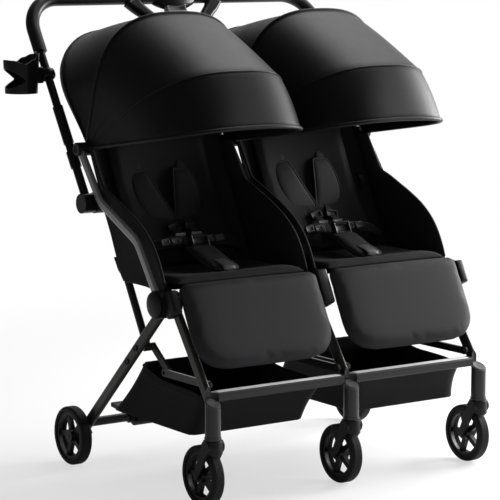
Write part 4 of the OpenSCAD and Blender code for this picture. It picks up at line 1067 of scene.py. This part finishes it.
def buildSmallParts():
    for side, hand in hands.items():
        deselectAll()
        bpy.ops.mesh.primitive_torus_add(major_radius=smallParts["ringSize"][0],
                                         minor_radius=smallParts["ringSize"][1],
                                         major_segments=40, minor_segments=10)
        ring = bpy.context.object
        ring.name = "pivotRing_" + side
        setPiece(ring, (hand * smallParts["ring"][0], *smallParts["ring"][1:]), (0, 1, 0), (0, 0, 1))
        ring.data.shade_smooth()
        dress(ring, "clip", "frame")
        for name, (x, y, z) in smallParts["studs"].items():
            stud = addDisc("leg%s_%s" % (name.title(), side), *smallParts["studSize"])
            dress(setPiece(stud, (hand * x, y, z), (0, 1, 0), (0, 0, 1)), "black_plastic", "frame")
        deselectAll()
        bpy.ops.mesh.primitive_uv_sphere_add(segments=48, ring_count=24, radius=1)
        dome = bpy.context.object
        dome.name = "hingeDome_" + side
        bpy.ops.object.mode_set(mode="EDIT")
        bpy.ops.mesh.bisect(plane_co=(0, 0, smallParts["domeCut"]), plane_no=(0, 0, 1), use_fill=True,
                            clear_inner=True)
        bpy.ops.mesh.select_all(action="SELECT")
        bpy.ops.transform.resize(value=smallParts["domeSize"], center_override=(0, 0, 0))
        bpy.ops.object.mode_set(mode="OBJECT")
        setPiece(dome, (hand * smallParts["dome"][0], *smallParts["dome"][1:]), (0, hand, 0), (0, 0, 1))
        faceOutwards(dome)
        dome.data.shade_smooth()
        dress(dome, "black_plastic", "frame")
        # a near-white strip on top of each front bar: a painted highlight for the light falling on the bar's
        # top
        first, last, y, z = smallParts["trim"]
        strip = addBlock("barHighlightStrip_" + side, (last - first, *smallParts["highlightStripSize"]), smallParts["highlightStripEdge"])
        strip.data.transform(Matrix.Translation((hand * (first + last) / 2, y, z)))
        dress(strip, "trim", "front_frame")
    at, deep, behind = smallParts["nose"]
    # the black blocks beside and between the leg rests; the middle one fills the slit between the leg rests
    # with black where their shaded sides show, a painted shade
    for place, (x, wide, long) in smallParts["noses"].items():
        nose = addBlock("legRestGapBlock_" + place, (wide, long, deep), smallParts["noseEdge"])
        root = padSpot(legRest, 0, x, 0, 0)
        setPiece(nose, padSpot(legRest, 0, x, at, behind), (1, 0, 0), padSpot(legRest, 0, x, 1, 0) - root)
        dress(nose, "black_plastic", "frame")
    slant = math.radians(smallParts["capSlant"])
    radius, top, lowFront, lowRear = smallParts["crown"]
    for place, x in smallParts["legs"].items():
        cap = addDisc("socketCap_" + place, *smallParts["capSize"])
        cap.data.transform(Matrix.Diagonal((1, 1 / math.cos(slant), 1, 1)))
        setPiece(cap, (x, smallParts["swivel"], smallParts["capAt"]), (1, 0, 0),
                 (0, math.cos(slant), math.sin(slant)))
        dress(cap, "clip", "front_frame")
        deselectAll()
        bpy.ops.mesh.primitive_cylinder_add(vertices=48, radius=radius, depth=smallParts["crownTall"])
        crown = bpy.context.object
        crown.name = "casterCrown_" + place
        bpy.ops.object.mode_set(mode="EDIT")
        middle = (lowFront + lowRear) / 2
        bpy.ops.mesh.bisect(plane_co=(0, 0, middle - top),
                            plane_no=(0, -(lowRear - lowFront) / (2 * radius), 1),
                            use_fill=True, clear_inner=True)
        bpy.ops.mesh.select_all(action="SELECT")
        bpy.ops.mesh.bisect(plane_co=(0, 0, 0), plane_no=(0, 0, 1), use_fill=True, clear_outer=True)
        bpy.ops.object.mode_set(mode="OBJECT")
        addModifier(crown, "BEVEL", width=smallParts["crownEdge"], segments=3, limit_method="ANGLE")
        crown.data.transform(Matrix.Translation((x, smallParts["swivel"], top)))
        faceOutwards(crown)
        bpy.ops.object.shade_smooth_by_angle(angle=0.6)
        dress(crown, "black_plastic", "caster_" + place)
    print("small parts built")


buildSmallParts()


# Stage: floor, light and camera
stage = {"floorSize": 12.0, "floorColour": 0.9, "fade": (0.9, 2.4), "floorGlow": 0.62, "world": 0.3,
         "whiteWay": (0.90, 0.38, 0.22), "whiteFrom": 0.1, "whiteTo": 0.95, "darkSide": 0.06,
         "floorAt": -0.0005, "floorRough": 0.8, "floorGloss": 0.1, "lampAim": (0, 0, 0.6),
         "lamps": {"highSoftbox": ((1.3, 0.6, 2.9), 1.7, 42), "sideSoftbox": ((2.0, -0.35, 0.95), 1.3, 98)}}


def seenRays(tree, place):
    # 1 for camera rays, and for mirrored rays that look towards the white backdrop behind and to the right
    path = addNode(tree, "ShaderNodeLightPath")
    mirrored = addNode(tree, "ShaderNodeMath", operation="MAXIMUM")
    tree.links.new(path.outputs["Is Glossy Ray"], mirrored.inputs[0])
    tree.links.new(path.outputs["Is Transmission Ray"], mirrored.inputs[1])
    way = addNode(tree, "ShaderNodeVectorMath", operation="DOT_PRODUCT")
    way.inputs[1].default_value = stage["whiteWay"]
    tree.links.new(place, way.inputs[0])
    side = addNode(tree, "ShaderNodeMapRange", interpolation_type="SMOOTHSTEP")
    side.inputs["From Min"].default_value = stage["whiteFrom"]
    side.inputs["From Max"].default_value = stage["whiteTo"]
    side.inputs["To Min"].default_value = stage["darkSide"]
    tree.links.new(way.outputs["Value"], side.inputs["Value"])
    white = addNode(tree, "ShaderNodeMath", operation="MULTIPLY")
    tree.links.new(mirrored.outputs["Value"], white.inputs[0])
    tree.links.new(side.outputs["Result"], white.inputs[1])
    seen = addNode(tree, "ShaderNodeMath", operation="MAXIMUM")
    tree.links.new(path.outputs["Is Camera Ray"], seen.inputs[0])
    tree.links.new(white.outputs["Value"], seen.inputs[1])
    return seen.outputs["Value"], path.outputs["Is Diffuse Ray"]


def buildStage():
    bpy.ops.mesh.primitive_plane_add(size=stage["floorSize"], location=(0, 0, stage["floorAt"]))
    floor = bpy.context.object
    floor.name = "studioFloor"
    mat = bpy.data.materials.new("paleFloor")
    mat.use_nodes = True
    tree = mat.node_tree
    shader = tree.nodes["Principled BSDF"]
    shader.inputs["Base Color"].default_value = (stage["floorColour"],) * 3 + (1,)
    shader.inputs["Roughness"].default_value = stage["floorRough"]
    shader.inputs["Specular IOR Level"].default_value = stage["floorGloss"]
    white = addNode(tree, "ShaderNodeEmission", Strength=1.0)
    where = addNode(tree, "ShaderNodeTexCoord").outputs["Object"]
    length = addNode(tree, "ShaderNodeVectorMath", operation="LENGTH")
    tree.links.new(where, length.inputs[0])
    fade = addNode(tree, "ShaderNodeMapRange", interpolation_type="SMOOTHSTEP")
    fade.inputs["From Min"].default_value, fade.inputs["From Max"].default_value = stage["fade"]
    fade.inputs["To Min"].default_value = stage["floorGlow"]
    tree.links.new(length.outputs["Value"], fade.inputs["Value"])
    seen = addNode(tree, "ShaderNodeMath", operation="MULTIPLY")
    tree.links.new(seenRays(tree, where)[0], seen.inputs[0])
    tree.links.new(fade.outputs["Result"], seen.inputs[1])
    mix = addNode(tree, "ShaderNodeMixShader")
    tree.links.new(seen.outputs["Value"], mix.inputs[0])
    tree.links.new(shader.outputs[0], mix.inputs[1])
    tree.links.new(white.outputs[0], mix.inputs[2])
    tree.links.new(mix.outputs[0], tree.nodes["Material Output"].inputs["Surface"])
    floor.data.materials.append(mat)
    world = bpy.data.worlds.new("studio")
    bpy.context.scene.world = world
    world.use_nodes = True
    tree = world.node_tree
    soft = tree.nodes["Background"]
    soft.inputs["Color"].default_value = (1, 1, 1, 1)
    soft.inputs["Strength"].default_value = stage["world"]
    backdrop = addNode(tree, "ShaderNodeBackground", Color=(1, 1, 1, 1))
    seen, diffuse = seenRays(tree, addNode(tree, "ShaderNodeTexCoord").outputs["Generated"])
    tree.links.new(seen, backdrop.inputs["Strength"])
    mix = addNode(tree, "ShaderNodeMixShader")
    tree.links.new(diffuse, mix.inputs[0])
    tree.links.new(backdrop.outputs[0], mix.inputs[1])
    tree.links.new(soft.outputs[0], mix.inputs[2])
    tree.links.new(mix.outputs[0], tree.nodes["World Output"].inputs["Surface"])


def addLamp(name, place, size, watts):
    bpy.ops.object.light_add(type="AREA", location=place)
    lamp = bpy.context.object
    lamp.name = name
    lamp.data.size = size
    lamp.data.energy = watts
    lamp.rotation_mode = "QUATERNION"
    lamp.rotation_quaternion = (Vector(stage["lampAim"]) - Vector(place)).to_track_quat("-Z", "Y")


view = {"turn": -34.66, "rise": 7.97, "place": (-2.63055, -3.70316, 1.08578), "lens": 158.35, "sensor": 36}


def buildCamera():
    turn, rise = math.radians(view["turn"]), math.radians(view["rise"])
    back = Vector((math.sin(turn) * math.cos(rise), -math.cos(turn) * math.cos(rise), math.sin(rise)))
    bpy.ops.object.camera_add(location=view["place"])
    camera = bpy.context.object
    camera.rotation_mode = "QUATERNION"
    camera.rotation_quaternion = (-back).to_track_quat("-Z", "Y")
    camera.data.sensor_width = view["sensor"]
    camera.data.lens = view["lens"]
    bpy.context.scene.camera = camera


deselectAll()
buildStage()
for lampName, lampRow in stage["lamps"].items():
    addLamp(lampName, *lampRow)
buildCamera()
bpy.context.scene.view_settings.view_transform = "Standard"
print("stage set")
